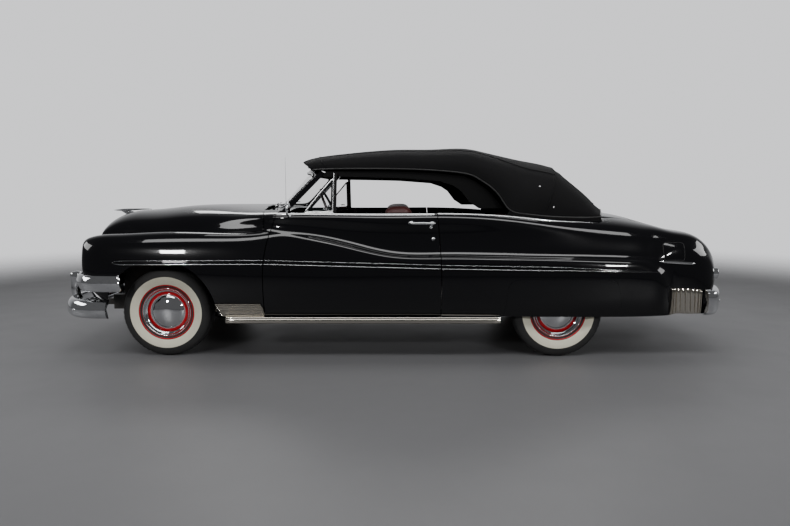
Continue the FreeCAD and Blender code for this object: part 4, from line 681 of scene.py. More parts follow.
def fender_places(rows, columns):
    """Places between the fender's lower edge, which climbs round the wheel's arch, and its foot line."""
    angle = np.linspace(math.pi, 0, 2000)[::-1]
    round_x, round_z = FRONT + ARCH * np.cos(angle), HUB_HIGH + ARCH * np.sin(angle)
    front_x = np.linspace(2361, FRONT + ARCH, 200)
    rear_x = np.linspace(FRONT - ARCH, 981, 500)
    edge_x = np.concatenate([front_x, round_x, rear_x])
    edge_z = np.concatenate([np.full(200, 0.0), round_z, np.full(500, 0.0)])
    run = np.concatenate([[0], np.cumsum(np.hypot(np.diff(edge_x), np.diff(edge_z) * (edge_z[1:] > 0)))])
    place = np.linspace(0, run[-1], rows + 1)
    x, z = np.interp(place, run, edge_x), np.interp(place, run, edge_z)
    low_t, high_t = np.zeros(rows + 1), np.full(rows + 1, 3.4)
    for _ in range(24):
        t = (low_t + high_t) / 2
        s = crossing(lambda point: point[..., 0] - x, t)
        under = skin(s, t)[..., 2] < z
        low_t, high_t = np.where(under, t, low_t), np.where(under, high_t, t)
    bottom_t = np.where(z > 0, low_t, 0)
    bottom_s = crossing(lambda point: point[..., 0] - x, bottom_t)
    bottom_s[0] = 0
    bottom_s[-1] = crossing(moved(door_front_edge, 6), bottom_t[-1:])[0]
    top_s = np.linspace(0, 1, rows + 1) * crossing(moved(door_front_edge, 6), np.array([FOOT_LINE]))[0]
    v = np.linspace(0, 1, columns + 1)[None, :]
    t = bottom_t[:, None] * (1 - v) + FOOT_LINE * v
    share = np.linspace(0, 1, rows + 1)[:, None]
    end = crossing(moved(door_front_edge, 6), t[-1:])
    s = bottom_s[:, None] * (1 - v) + top_s[:, None] * v
    s += (end - s[-1:]) * share ** 6
    return s, t


fender_s, fender_t = fender_places(140, 42)
fender_outer = skin(fender_s, fender_t)
fender = walled(fender_outer, fender_outer - outward(fender_s, fender_t) * 9)


def apron_half():
    """The inner panel beside the engine: a shelf under the fender's foot and a wall down to the rail."""
    x = np.linspace(1046, 2236, 60)
    t = np.full_like(x, 4.7)
    s = crossing(lambda point: point[..., 0] - x, t)
    foot = skin(s, t) - outward(s, t) * 6
    top = np.stack([x, np.full_like(x, 445), foot[:, 2] - 46], axis=-1)
    base = np.stack([x, np.full_like(x, 445), np.interp(x, [1180, 1420], [342, 420])], axis=-1)
    line = [foot, (foot * 2 + top) / 3 - (0, 0, 10), (foot + top * 2) / 3 - (0, 0, 6), top,
            top - (0, 0, 20), base]
    grid = np.stack(line, axis=1)
    return walled(grid, grid - (0, 5, 5))


for side, turned_over in SIDES:
    rolled(piece(f"fender_{side}_panel", turned_over(fender), body_black, "car_body",
                 stands_for=[f"fender_front_{side}"]))
    piece(f"fender_{side}_apron", turned_over(apron_half()), chassis_black, "car_body", 30)

# Hood: one broad steel pressing that falls to the grille, hinged at its back corners and
# latched at its nose.
hood_skin = pressed(nose, hood_rear_edge, 5.1, 2 * MIDDLE - 5.1, 9, 72, 72)
rolled(piece("hood_panel", hood_skin, body_black, "hood", stands_for=["hood"]))

# Doors: welded steel boxes as thick as the real door, with a lip at each upright edge, hung
# on upright pins just ahead of their front edges.
DOOR_LOW, BELT_LINE = 0.08, 7
CABIN = 800


def door_grids(rows, columns):
    """Face, lips, recessed ends and the flat inner side of a door."""
    s, t = spread(door_front_edge, door_rear_edge, DOOR_LOW, BELT_LINE, rows, columns)
    inner_s, inner_t = spread(moved(door_front_edge, -11), moved(door_rear_edge, 11), DOOR_LOW, BELT_LINE,
                              rows, columns)
    outer = skin(s, t)
    lip = outer - outward(s, t) * 5
    root = skin(inner_s, inner_t) - outward(inner_s, inner_t) * 5
    inner = skin(inner_s, inner_t)
    inner[..., 1] = CABIN
    return outer, lip, root, inner


door = walled(*door_grids(76, 52))
for side, turned_over in SIDES:
    rolled(piece(f"door_{side}_panel", turned_over(door), body_black, f"door_{side}",
                 stands_for=[f"door_{side}"]), 1.2)

# Rear quarters: the body's long side behind the door, flowing over the wheel to the tail,
# with the detachable cover that hides the top of the wheel.
SKIRT = [(-804, 0), (-834, 567), (-852, 590), (-880, 606), (-934, 613), (-1542, 613), (-1600, 607),
         (-1640, 590), (-1656, 540), (-1672, 470), (-1680, 418), (-1676, 370), (-1662, 0)]


def line_height(x, z):
    """The place (s, t) of points of the car's side given along and up, by halving."""
    low_t, high_t = np.zeros_like(x), np.full_like(x, 6.9)
    for _ in range(26):
        t = (low_t + high_t) / 2
        s = crossing(lambda point: point[..., 0] - x, t)
        under = skin(s, t)[..., 2] < z
        low_t, high_t = np.where(under, t, low_t), np.where(under, high_t, t)
    low_t = np.where(low_t < 0.001, 0, low_t)
    return crossing(lambda point: point[..., 0] - x, low_t), low_t


def skirt_line(count, inset=0.0):
    """The wheel opening's outline, by share of its length, drawn in by a gap."""
    corners = np.array(SKIRT, float)
    corners[:, 0] -= inset * np.sign(corners[:, 0] + 1242)
    corners[:, 1] -= inset * (corners[:, 1] > 430)
    corners[corners[:, 1] < 300, 1] = 300
    run = np.concatenate([[0], np.cumsum(np.linalg.norm(np.diff(corners, axis=0), axis=1))])
    place = np.linspace(0, run[-1], count)
    return np.interp(place, run, corners[:, 0]), np.interp(place, run, corners[:, 1])


def quarter_top(share):
    """The top line rises from the belt to the seam beside the trunk lid."""
    rise = np.clip((share - 0.42) / 0.22, 0, 1)
    return 7 + 0.5 * rise * rise * (3 - 2 * rise)


def quarter_places(columns):
    """Places between the quarter's lower edge, which climbs round the skirt, and its top line."""
    ahead = np.linspace(-339, -804, 31)
    behind = np.linspace(-1662, -2330, 51)
    round_x, round_z = skirt_line(80)
    x = np.concatenate([ahead[:-1], round_x, behind[1:]])
    z = np.concatenate([np.zeros(30), round_z, np.zeros(50)])
    bottom_s, bottom_t = line_height(x, z)
    bottom_t = np.where(z > 310, bottom_t, 0)
    bottom_s = crossing(lambda point: point[..., 0] - x, bottom_t)
    edge = moved(door_rear_edge, -6)
    bottom_s[0], bottom_s[-1] = crossing(edge, np.zeros(1))[0], STATIONS[-1]
    count = len(x)
    share = np.linspace(0, 1, count)
    run = np.cumsum(np.concatenate([[0], 0.35 + np.abs(np.diff(x)) / np.abs(np.diff(x)).mean()]))
    share = 0.5 * share + 0.5 * run / run[-1]
    v = np.linspace(0, 1, columns + 1)[None, :]
    top_t = quarter_top(share)
    t = bottom_t[:, None] * (1 - v) + top_t[:, None] * v
    top_s = crossing(edge, top_t) * (1 - share) + STATIONS[-1] * share
    s = bottom_s[:, None] * (1 - v) + top_s[:, None] * v
    s += (crossing(edge, t[:1]) - s[:1]) * (1 - share[:, None]) ** 8
    return s, t


quarter_s, quarter_t = quarter_places(40)
quarter_outer = skin(quarter_s, quarter_t)
quarter = walled(quarter_outer, quarter_outer - outward(quarter_s, quarter_t) * 24)


def block_inside():
    """The quarter's trimmed inner side beside the rear seat, with its end at the door."""
    s, t = spread(moved(door_rear_edge, -8), straight_edge(-740), 0.1, 6.9, 20, 30)
    outer = skin(s, t) - outward(s, t) * 12
    inner = outer.copy()
    inner[..., 1] = CABIN
    return walled(outer, inner)


def skirt_plate(rows, columns):
    """The wheel cover: the same skin, between its outline's top and the body's lower edge."""
    x = np.linspace(-804.6, -1661.4, rows + 1)
    v = np.linspace(0, 1, columns + 1)[None, :]
    bottom_s, bottom_t = crossing(lambda point: point[..., 0] - x, np.zeros_like(x)), np.zeros_like(x)
    top_s, top_t = line_height(*skirt_line(rows + 1, 0.8))
    s = bottom_s[:, None] * (1 - v) + top_s[:, None] * v
    t = bottom_t[:, None] * (1 - v) + top_t[:, None] * v
    outer = skin(s, t)
    return walled(outer, outer - outward(s, t) * 14)


skirt_left = skirt_plate(64, 18)
for side, turned_over in SIDES:
    rolled(piece(f"quarter_{side}_panel", turned_over(quarter), body_black, "car_body",
                 stands_for=[f"quarter_rear_{side}"]))
    piece(f"quarter_{side}_inner", turned_over(block_inside()), body_black, "car_body", 30)
rolled(piece("wheel_covers", together(skirt_left, other_side(skirt_left)), body_black, "car_body",
             stands_for=["fender_skirts"]))

# Rear deck and trunk lid: the panel behind the folded top's well, the lid that falls to the
# bumper, and the sill that the lid shuts on.
DECK_SIDE = 7.5015
deck_ahead = pressed(straight_edge(-1490), straight_edge(-1840), DECK_SIDE, 2 * MIDDLE - DECK_SIDE, 12,
                     28, 50)
deck_sill = pressed(level_edge(560), tail, DECK_SIDE, 2 * MIDDLE - DECK_SIDE, 12, 9, 50)
rolled(piece("rear_deck_panel", together(deck_ahead, deck_sill), body_black, "car_body",
             stands_for=["rear_deck"]))
lid = pressed(straight_edge(-1846), level_edge(566), 7.54, 2 * MIDDLE - 7.54, 12, 62, 62)
rolled(piece("trunk_lid_panel", lid, body_black, "trunk_lid", stands_for=["trunk_lid"]))

# The soft top: one sheet of black cotton-faced cloth, stretched from the windscreen's header
# over the bows and tacked along the deck, with a bound edge.
TOP_ROWS = np.array([
    # along and up at the middle, then along, out and up at the edge, and how square the arch is
    (768, 1466, 652, 668, 1424, 2.8), (764, 1496, 642, 684, 1428, 2.8),
    (738, 1520, 600, 692, 1431, 2.8), (624, 1548, 520, 702, 1434, 2.9),
    (411, 1575, 340, 710, 1436, 3), (38, 1607, 0, 716, 1434, 3), (-263, 1610, -300, 720, 1422, 3),
    (-529, 1619, -536, 726, 1396, 3), (-700, 1594, -640, 736, 1350, 2.9),
    (-800, 1573, -727, 747, 1290, 2.8), (-930, 1546, -800, 758, 1205, 2.7),
    (-1060, 1521, -862, 776, 1122, 2.6), (-1180, 1499, -960, 786, 1094, 2.6),
    (-1267, 1476, -1090, 784, 1080, 2.6), (-1330, 1438, -1230, 778, 1070, 2.5),
    (-1480, 1326, -1380, 770, 1066, 2.4), (-1640, 1212, -1480, 764, 1066, 2.3),
    (-1740, 1140, -1535, 757, 1068, 2.1), (-1791, 1104, -1560, 750, 1070, 2),
], float)
TOP_SPANS = np.arange(len(TOP_ROWS), dtype=float)
TOP_BENDS = bend_matrix(TOP_SPANS) @ TOP_ROWS


def top_point(row, share):
    """The cloth at a row along the car and a share across it: a rounded square arch on splined rows,
    whose first and last rows run straighter from side to side."""
    i, a, b, p, q = (part[..., None] if part.dtype.kind == "f" else part for part in weights(TOP_SPANS, row))
    along, up, edge_along, edge_out, edge_up, square = np.moveaxis(
        a * TOP_ROWS[i] + b * TOP_ROWS[i + 1] + p * TOP_BENDS[i] + q * TOP_BENDS[i + 1], -1, 0)
    angle = math.pi / 2 * np.abs(share)
    rise = np.clip(np.cos(angle), 0, 1) ** (2 / square)
    out = np.sin(angle) ** (2 / square) * np.sign(share)
    behind = np.clip((row - 13.2) / 3.6, 0, 1)
    ahead = np.clip((1.8 - row) / 1.8, 0, 1)
    straight = behind * behind * (3 - 2 * behind) + 0.75 * ahead * ahead
    level = rise + (1 - np.abs(out) - rise) * straight
    lift = 0.1 * behind * (along - edge_along) * (level - rise)
    return np.stack([edge_along + (along - edge_along) * level, edge_out * out,
                     edge_up + (up - edge_up) * rise + lift], axis=-1)


def top_cloth(rows, columns, depth):
    """The cloth's two faces, a depth apart, from the arch's points and the crossing of its slopes."""
    row, share = np.meshgrid(np.linspace(0, TOP_SPANS[-1], rows), np.linspace(1, -1, columns), indexing="ij")
    step = 0.004
    ahead, behind = np.maximum(row - step, 0), np.minimum(row + step, TOP_SPANS[-1])
    along = top_point(behind, share) - top_point(ahead, share)
    around = top_point(row, share - step) - top_point(row, share + step)
    normal = np.cross(along, around)
    normal /= np.linalg.norm(normal, axis=-1, keepdims=True) + 1e-9
    outer = top_point(row, share)
    return walled(outer, outer - normal * depth)


canvas_black = Finish("canvas_black", (0.006, 0.006, 0.0062), 0.9, Specular_IOR_Level=0.12)
fade = canvas_black.noise(2.6, 4)
across, along = canvas_black.parts(canvas_black.where())[:2]
weave = ((across * 2200).sine() * (along * 2200).sine()) * 0.5 + 0.5
canvas_black.set(**{"Base Color": canvas_black.mix(fade, (0.0035, 0.0035, 0.0038), (0.0085, 0.0085, 0.009)),
                    "Roughness": 0.8 + 0.15 * fade})
canvas_black.bump(weave * 0.7 + canvas_black.noise(900, 2) * 0.5, 0.0006, 0.7)
canvas_top = piece("canvas_top", top_cloth(96, 77, 3), canvas_black, "car_body", 60,
                   ["convertible_top"])
rail_black = Finish("rail_black", (0.002, 0.002, 0.0022), 0.7, Specular_IOR_Level=0.15)
rail_black.bump(rail_black.noise(400, 3), 0.0004, 0.5)
dress(rail_black, "top_frame")

# Bumpers: heavy pressed blades, polished and plated, bowed in section and carried round the
# corners, with two guards ahead, fixed by dome-headed bolts to irons from the frame.
def tube(grid):
    """A tube of rings, with its two ends drawn shut onto their middles."""
    shut = [np.broadcast_to(ring.mean(axis=0), ring.shape)[None] for ring in (grid[0], grid[-1])]
    rings = np.concatenate([shut[0], grid, shut[1]])
    return rings.reshape(-1, 3), grid_faces(len(rings), rings.shape[1], False, True)


def carried(spine, section, up=(0, 0, 1), size=None):
    """A closed section of (out, up) pairs carried along a line: out is level and square to the line."""
    spine, section = np.asarray(spine, float), np.asarray(section, float)
    run = np.gradient(spine, axis=0)
    run /= np.linalg.norm(run, axis=1, keepdims=True)
    out = np.cross(run, up)
    out /= np.linalg.norm(out, axis=1, keepdims=True)
    rise = np.cross(out, run)
    size = np.ones(len(spine)) if size is None else np.asarray(size, float)
    section = section[None] if section.ndim == 2 else section
    offset = out[:, None] * section[..., :1] + rise[:, None] * section[..., 1:]
    return tube(spine[:, None] + offset * size[:, None, None])


def oval(wide, high, count=20, square=2.0):
    """A closed ring of (out, up) pairs: an ellipse, or with a higher power a rounded square."""
    turn = np.linspace(0, 2 * math.pi, count, endpoint=False)
    c, s = np.cos(turn), np.sin(turn)
    return np.stack([wide * np.sign(c) * np.abs(c) ** (2 / square),
                     high * np.sign(s) * np.abs(s) ** (2 / square)], axis=1)


def sheeted(line, thick, count=22):
    """A bent sheet's section: a smooth line, and the same line drawn back by its thickness."""
    face = curve_through(line, count)
    return np.concatenate([face, face[::-1] - (thick, 0)])


def both_ways(points):
    """A path from one side, then the same mirrored to the other."""
    points = np.asarray(points, float)
    return np.concatenate([points, (points * (1, -1, 1))[-2::-1]])


def dome(centre, axis, wide, high, deep, rings=7, count=20, up=(0, 0, 1)):
    """A bolt's head or a lens: ellipses that shrink to a point, by sine and cosine, along an axis."""
    axis = np.asarray(axis, float) / np.linalg.norm(axis)
    across = np.cross(axis, up)
    across /= np.linalg.norm(across)
    rise = np.cross(across, axis)
    angle = np.linspace(0, math.pi / 2, rings)[:, None, None]
    turn = np.linspace(0, 2 * math.pi, count, endpoint=False)[None, :, None]
    grid = (np.asarray(centre, float) + axis * deep * np.sin(angle)
            + (across * wide * np.cos(turn) + rise * high * np.sin(turn)) * np.cos(angle))
    return tube(grid)


FRONT_BLADE = [(-52, 452), (-26, 449), (-6, 436), (8, 414), (15, 386), (15, 358), (8, 334), (-8, 315),
               (-28, 308)]
REAR_BLADE = [(-44, 530), (-14, 527), (8, 512), (15, 490), (16, 440), (14, 392), (6, 362), (-8, 345),
              (-28, 338)]
front_path = curve_through(both_ways([(2172, -940, 0), (2330, -925, 0), (2470, -850, 0), (2565, -690, 0),
                                      (2594.5, -420, 0), (2608.5, -200, 0), (2610.5, 0, 0)]), 150)
rear_path = curve_through(both_ways([(-2322, 930, 0), (-2396, 905, 0), (-2458, 800, 0), (-2518, 660, 0),
                                     (-2566, 480, 0), (-2597, 250, 0), (-2608.5, 0, 0)]), 150)
front_blade = carried(front_path, sheeted(FRONT_BLADE, 4))
rear_blade = carried(rear_path, sheeted(REAR_BLADE, 4))
GUARD_LINE = [(2560, 398), (2576, 430), (2584, 470), (2582, 515), (2572, 552), (2562, 584), (2556, 608),
              (2552, 624)]
GUARD_SIZE = [(0.8, 0.9), (0.95, 1.1), (1, 1.1), (0.98, 1.15), (1.05, 1.6), (1.15, 2.1), (1.0, 1.8),
              (0.3, 0.6)]
guard_spine = curve_through([(x, 0, z) for x, z in GUARD_LINE], 40)
guard_size = curve_through(GUARD_SIZE, 40)
guard_ring = oval(35, 28, 28, 3.2)[None] * guard_size[:, None, :]
guard_points, guard_faces = carried(guard_spine, guard_ring, up=(-1, 0, 0))
guards = together(*((guard_points + (0, y, 0), guard_faces) for y in (-550, 550)))
IRON_OUT = (-405, 405)
front_irons = together(*(carried([(1940, y, 357), (2300, y, 357), (2590, y, 357)], oval(24, 24, 20, 6))
                         for y in IRON_OUT))
rear_irons = together(*(carried([(-2395, y, 425), (-2450, y, 425), (-2566, y, 420)], oval(24, 34, 20, 6))
                        for y in IRON_OUT))


def on_path(path, y):
    """The path's point at a place across the car, and its level outward direction."""
    number = np.argmin(np.abs(path[:, 1] - y))
    run = path[number + 1] - path[number - 1]
    return path[number], np.cross(run, (0, 0, 1)) / np.linalg.norm(run)


def bolts(path, places, z, reach):
    heads = []
    for y in places:
        at, out = on_path(path, y)
        heads.append(dome(at + out * reach + (0, 0, z), out, 11, 11, 7))
    return together(*heads)


piece("front_bumper_blade", together(front_blade, guards), chrome, "car_body", 40, ["front_bumper"])
piece("front_bumper_bolts", bolts(front_path, (-880, -405, 405, 880), 372, 14), chrome, "car_body")
piece("front_bumper_irons", front_irons, chassis_black, "car_body", 50)
piece("rear_bumper_blade", rear_blade, chrome, "car_body", 40, ["rear_bumper"])
piece("rear_bumper_bolts", bolts(rear_path, (-860, -405, 405, 860), 440, 15), chrome, "car_body")
piece("rear_bumper_irons", rear_irons, chassis_black, "car_body", 50)

# Grille: a sculpted die-cast bar whose wings reach round the fenders, with seventeen upright
# plated teeth, and behind them a black plate on two stays whose black is painted shade of the open space
# behind the teeth.
def on_side(x, z):
    """The skin's points and outward directions at places along the car and up its side."""
    s, t = line_height(np.asarray(x, float), np.asarray(z, float))
    return skin(s, t), outward(s, t)


wing_x = np.array([2040.0, 2130, 2220, 2300, 2340])
wing_out = 12.4 + np.maximum(*(on_side(wing_x, np.full(5, z))[0][:, 1] for z in (560.0, 640.0)))
wing_side = [(x, -y, 0) for x, y in zip(wing_x, wing_out)]
wing_path = curve_through(both_ways(wing_side + [(2400, -850, 0), (2455, -735, 0), (2505, -520, 0),
                                                 (2532, -260, 0), (2538, 0, 0)]), 170)
WING = [(-9, 641), (-2, 640), (9, 628), (19, 604), (23, 585), (18, 565), (9, 543), (-1, 524), (-8, 518)]
wing_share = np.linspace(0, 1, len(wing_path))
wing_end = np.clip(np.minimum(wing_share, 1 - wing_share) / 0.012, 0, 1) ** 0.5
wing_out_of_line, wing_high = sheeted(WING, 3.5).T
wing_section = np.stack([np.broadcast_to(wing_out_of_line, (len(wing_path), len(wing_high))),
                         580 + (wing_high - 580) * (0.72 + 0.28 * wing_end[:, None])], axis=-1)
wing_bar = carried(wing_path, wing_section)
TOOTH_PITCH = 60


def grille_tooth(y):
    """A tooth: rings from its foot to its top, each flat behind and round in front.

    By a parabola, the teeth bow forward at the middle.
    """
    up = np.linspace(0, 1, 26)[:, None]
    turn = np.linspace(-math.pi / 2, math.pi / 2, 11)[None, :]
    tip = 2334 + 56 * (1 - (2 * up - 0.96) ** 2).clip(0)
    ahead = tip - 12 + 12 * np.cos(turn)
    out = 7 * np.sin(turn) * np.ones_like(up)
    high = 520 + 250 * up + 0 * turn
    front = np.stack([ahead, out, high], axis=-1)
    back = np.stack([np.full((26, 2), 2290.0), np.broadcast_to([7.0, -7.0], (26, 2)), high[:, :2]], axis=-1)
    points, faces = tube(np.concatenate([front, back], axis=1))
    return points + (0, y, 0), faces


teeth = together(*(grille_tooth(number * TOOTH_PITCH) for number in range(-8, 9)))
# Painted shade: the plate shuts the opening behind the teeth, and its black stands for the shaded space there.
flat = np.stack(np.meshgrid([2294.0], np.linspace(-620, 620, 30), np.linspace(500, 830, 12), indexing="ij"),
                axis=-1)[0]
plate = walled(flat, flat - (14, 0, 0))
stays = together(*(carried([(2288, y, 580), (2400, y, 580), (2503, y, 580)], oval(10, 20, 16, 5)) for y in
                   (-515, 515)))
piece("grille_bar", wing_bar, chrome, "car_body", 34, ["grille"])
piece("grille_teeth", teeth, chrome, "car_body", 40)
piece("grille_shade_plate", together(plate, stays), rail_black, "car_body", 40)

# Headlamps and tail lamps: fluted glass lenses held by plated rims over bright bowls, and
# round red moulded lenses at the rear, screwed into the fenders.
lamp_lens = Finish("lamp_lens", (0.93, 0.94, 0.93), 0.05, Transmission_Weight=0.6, IOR=1.45)
lens_out = lamp_lens.parts(lamp_lens.where())[1]
lamp_lens.bump((lens_out * 700).sine() * 0.5 + 0.5, 0.0008, 0.8)
lamp_red = Finish("lamp_red", (0.30, 0.003, 0.005), 0.12, Coat_Weight=0.5)
red_up = lamp_red.parts(lamp_red.where())[2]
lamp_red.bump((red_up * 900).sine() * 0.5 + 0.5, 0.0006, 0.7)
HEAD_RIM = [(2318, 100), (2340, 104.5), (2356, 105), (2366, 101), (2370, 94), (2368, 88), (2363, 87),
            (2358, 90), (2340, 97), (2320, 96)]
HEAD_LENS = [(2361, 88.5), (2369, 78), (2376, 60), (2380, 38), (2381.5, 18), (2382, 0), (2378, 0),
             (2376, 38), (2365, 74), (2357, 87)]
HEAD_BOWL = [(2285, 0), (2285, 92), (2340, 96), (2358, 90), (2330, 70), (2300, 30), (2296, 0)]
for side, name in ((1, "left"), (-1, "right")):
    at_lamp = (0, side * 745, 765)
    piece(f"headlamp_{name}_rim", spun(curve_through(HEAD_RIM, 40, True), at_lamp, 96, "x"), chrome,
          "car_body", 40, ["headlamps"] if side > 0 else ())
    piece(f"headlamp_{name}_bowl", spun(HEAD_BOWL, at_lamp, 72, "x", False), chrome, "car_body", 40)
    piece(f"headlamp_{name}_lens", spun(HEAD_LENS, at_lamp, 96, "x", False), lamp_lens, "car_body", 60)
TAIL_RIM = [(-2330, 43), (-2380, 43.5), (-2388, 42), (-2390, 38), (-2386, 35.5), (-2376, 36), (-2330, 38)]
TAIL_LENS = [(-2362, 0), (-2362, 37), (-2382, 36.5), (-2390, 31), (-2395, 20), (-2397, 0)]

for side, name in ((1, "left"), (-1, "right")):
    at_lamp = (-66, side * 775, 640)
    piece(f"tail_lamp_{name}_rim", spun(curve_through(TAIL_RIM, 32, True), at_lamp, 72, "x"), chrome,
          "car_body", 40, ["taillights"] if side > 0 else ())
    piece(f"tail_lamp_{name}_lens", spun(TAIL_LENS, at_lamp, 72, "x", False), lamp_red, "car_body", 60)

# Bright mouldings: rolled stainless strips clipped along the body's sides, with a bead at the
# foot and a fine upper bead, pointed where they run out; between the beads, a dark channel in the body's black
# paint.
def lying(spine, normal, half, proud, section, count=14):
    """A strip on the skin: at each place a section, in shares of its half height and of its rise."""
    run = np.gradient(spine, axis=0)
    run /= np.linalg.norm(run, axis=1, keepdims=True)
    up = np.cross(normal, run)
    ring = curve_through(section, count)
    grid = (spine[:, None] + up[:, None] * (half[:, None] * ring[:, 0])[..., None]
            + normal[:, None] * (proud[:, None] * ring[:, 1])[..., None])
    return tube(grid)


ARCHED = [(-1, -0.12), (-0.98, 0.3), (-0.8, 0.75), (-0.4, 0.98), (0, 1.04), (0.4, 0.98), (0.8, 0.75),
          (0.98, 0.3), (1, -0.12)]
LINE_X, LINE_Z = [-1955, -1300, -335, -319, 980, 2105], [668, 690, 705, 706, 740, 737]


def side_strip(front, rear, high, rise, beaded=True, front_tip=0.0, rear_tip=0.0, line=(LINE_X, LINE_Z),
               count=120):
    """A side moulding between two places: its half height falls as a root towards a pointed tip.

    A beaded one comes as its channel and the two beads that edge it.
    """
    x = np.linspace(front, rear, count)
    spine, normal = on_side(x, np.interp(x, *line))
    ends = np.ones(count)
    if front_tip:
        ends *= np.clip((front - x) / front_tip, 0.001, 1) ** 0.5
    if rear_tip:
        ends *= np.clip((x - rear) / rear_tip, 0.001, 1) ** 0.7
    half, proud = high / 2 * ends, rise * np.clip(ends * 1.3, 0, 1)
    if not beaded:
        return lying(spine, normal, half, proud, ARCHED)
    run = np.gradient(spine, axis=0)
    up = np.cross(normal, run / np.linalg.norm(run, axis=1, keepdims=True))
    beads = [lying(spine + up * (half * place)[:, None], normal, half * size, proud, ARCHED)
             for place, size in ((-0.8, 0.22), (0.88, 0.13))]
    return lying(spine, normal, half * 0.9, proud * 0.55, ARCHED), together(*beads)


bright = plated("bright_strip", (0.74, 0.745, 0.75), 0.11)
fender_strip = side_strip(2105, 989, 34, 9, front_tip=70)
door_strip = side_strip(974, -324, 34, 9, count=140)
quarter_strip = side_strip(-339, -1955, 32, 9, rear_tip=900, count=150)
tail_strip = side_strip(-1961, -2239, 20, 9, False, 60, 40, ([-2239, -1961], [725, 742]), 50)


def belt_strip(front, rear, t, high, rise, count=120, tail_share=0.0):
    """The belt's strip follows the skin's own lines."""
    at_front, at_rear = (crossing(straight_edge(x), np.array([t]))[0] for x in (front, rear))
    s = np.linspace(at_front, at_rear, count)
    around = np.full(count, t)
    ends = high / 2 * np.clip(np.linspace(1, 0, count) / max(tail_share, 0.001), 0.02, 1) ** 0.6
    return lying(skin(s, around), outward(s, around), ends, rise * (2 * ends / high), ARCHED)


door_belt = belt_strip(893, -292, 6.86, 24, 7, 140)
quarter_belt = belt_strip(-310, -1530, 6.9, 18, 6, 140, 0.3)
for side, turned_over in SIDES:
    piece(f"fender_{side}_channel", turned_over(fender_strip[0]), body_black, "car_body", 50)
    piece(f"fender_{side}_strip", turned_over(fender_strip[1]), bright, "car_body", 50)
    piece(f"door_{side}_channel", turned_over(door_strip[0]), body_black, f"door_{side}", 50)
    piece(f"door_{side}_strip", turned_over(together(door_strip[1], door_belt)), bright, f"door_{side}", 50)
    piece(f"quarter_{side}_channel", turned_over(quarter_strip[0]), body_black, "car_body", 50)
    piece(f"quarter_{side}_strip", turned_over(together(quarter_strip[1], quarter_belt, tail_strip)), bright,
          "car_body", 50)

# Stone shields and rocker mouldings: ribbed stainless plates ahead of the door and before the
# rear bumper, and a broad two-step moulding along the sill between the wheels.
steel_warm = plated("steel_warm", (0.6, 0.565, 0.5), 0.2)


def guard_front_edge(point):
    return point[..., 0] - 1285 - 0.46 * (point[..., 2] - 279)


def guard_rear_edge(point):
    return point[..., 0] - np.maximum(996, 969 + 0.47 * (point[..., 2] - 332))


def plate_on_skin(front, rear, low, high, rows, columns, rise):
    """A plate on the skin whose rise above it is a function of the shares along and up it."""
    s, t = spread(front, rear, low, high, rows, columns)
    u, v = np.meshgrid(np.linspace(0, 1, rows + 1), np.linspace(0, 1, columns + 1), indexing="ij")
    outer, direction = skin(s, t), outward(s, t)
    return walled(outer + direction * rise(u, v)[..., None], outer + direction * 0.3)


def rimmed(along, up, wide):
    """1 inside a plate and 0 at its rim, with a soft step."""
    near = np.minimum(np.minimum(along, 1 - along), np.minimum(up, 1 - up))
    return np.clip(near / wide, 0, 1)


def level_ribs(u, v):
    """A turned rim round eight level ribs."""
    return 3.5 + 5.5 * (1 - rimmed(u, v, 0.09)) + 3 * np.abs(np.sin(8 * math.pi * v))


def upright_ribs(u, v):
    """Ten deep upright ribs that run out at their ends."""
    run_out = np.clip(np.minimum(v, 1 - v) / 0.1, 0.05, 1) ** 0.5
    return 2 + 11 * np.abs(np.sin(10 * math.pi * u)) ** 0.75 * run_out


shield_front = plate_on_skin(guard_front_edge, guard_rear_edge, 0, 0.85, 44, 56, level_ribs)
shield_rear = plate_on_skin(straight_edge(-2060), straight_edge(-2296), 0, 1.75, 100, 12, upright_ribs)
ROCKER = [(905.4, 273), (918, 273.5), (927, 277), (931, 284), (932, 296), (930, 305), (926, 310),
          (927.5, 315), (925, 321), (917, 325), (905.4, 326)]
rocker_line = curve_through(ROCKER, 40)
rocker_x = np.linspace(1285, -782, 60)
rocker_end = np.clip(np.minimum(1285 - rocker_x, rocker_x + 782) / 20 + 0.7, 0, 1)
rocker = tube(np.stack([np.broadcast_to(rocker_x[:, None], (60, 40)),
                        905.4 + (rocker_line[None, :, 0] - 905.4) * rocker_end[:, None],
                        np.broadcast_to(rocker_line[None, :, 1], (60, 40))], axis=-1))
shields = together(shield_front, shield_rear, other_side(shield_front), other_side(shield_rear))
piece("stone_shields", shields, steel_warm, "car_body", 50, ["stone_guards"])
piece("rocker_moulding_left", rocker, steel_warm, "car_body", 40, ["rocker_left"])
piece("rocker_moulding_right", other_side(rocker), steel_warm, "car_body", 40, ["rocker_right"])

# Door handles, locks and the fuel filler's door: die-cast pull handles with a push button, a
# key lock below, and a flush steel lid with a dark rubber seal.
seal_rubber = Finish("seal_rubber", (0.008, 0.008, 0.008), 0.7)
seal_rubber.bump(seal_rubber.noise(300, 2), 0.0003, 0.4)


def on_side_at(x, z):
    at, out = on_side([x], [z])
    return at[0], out[0]


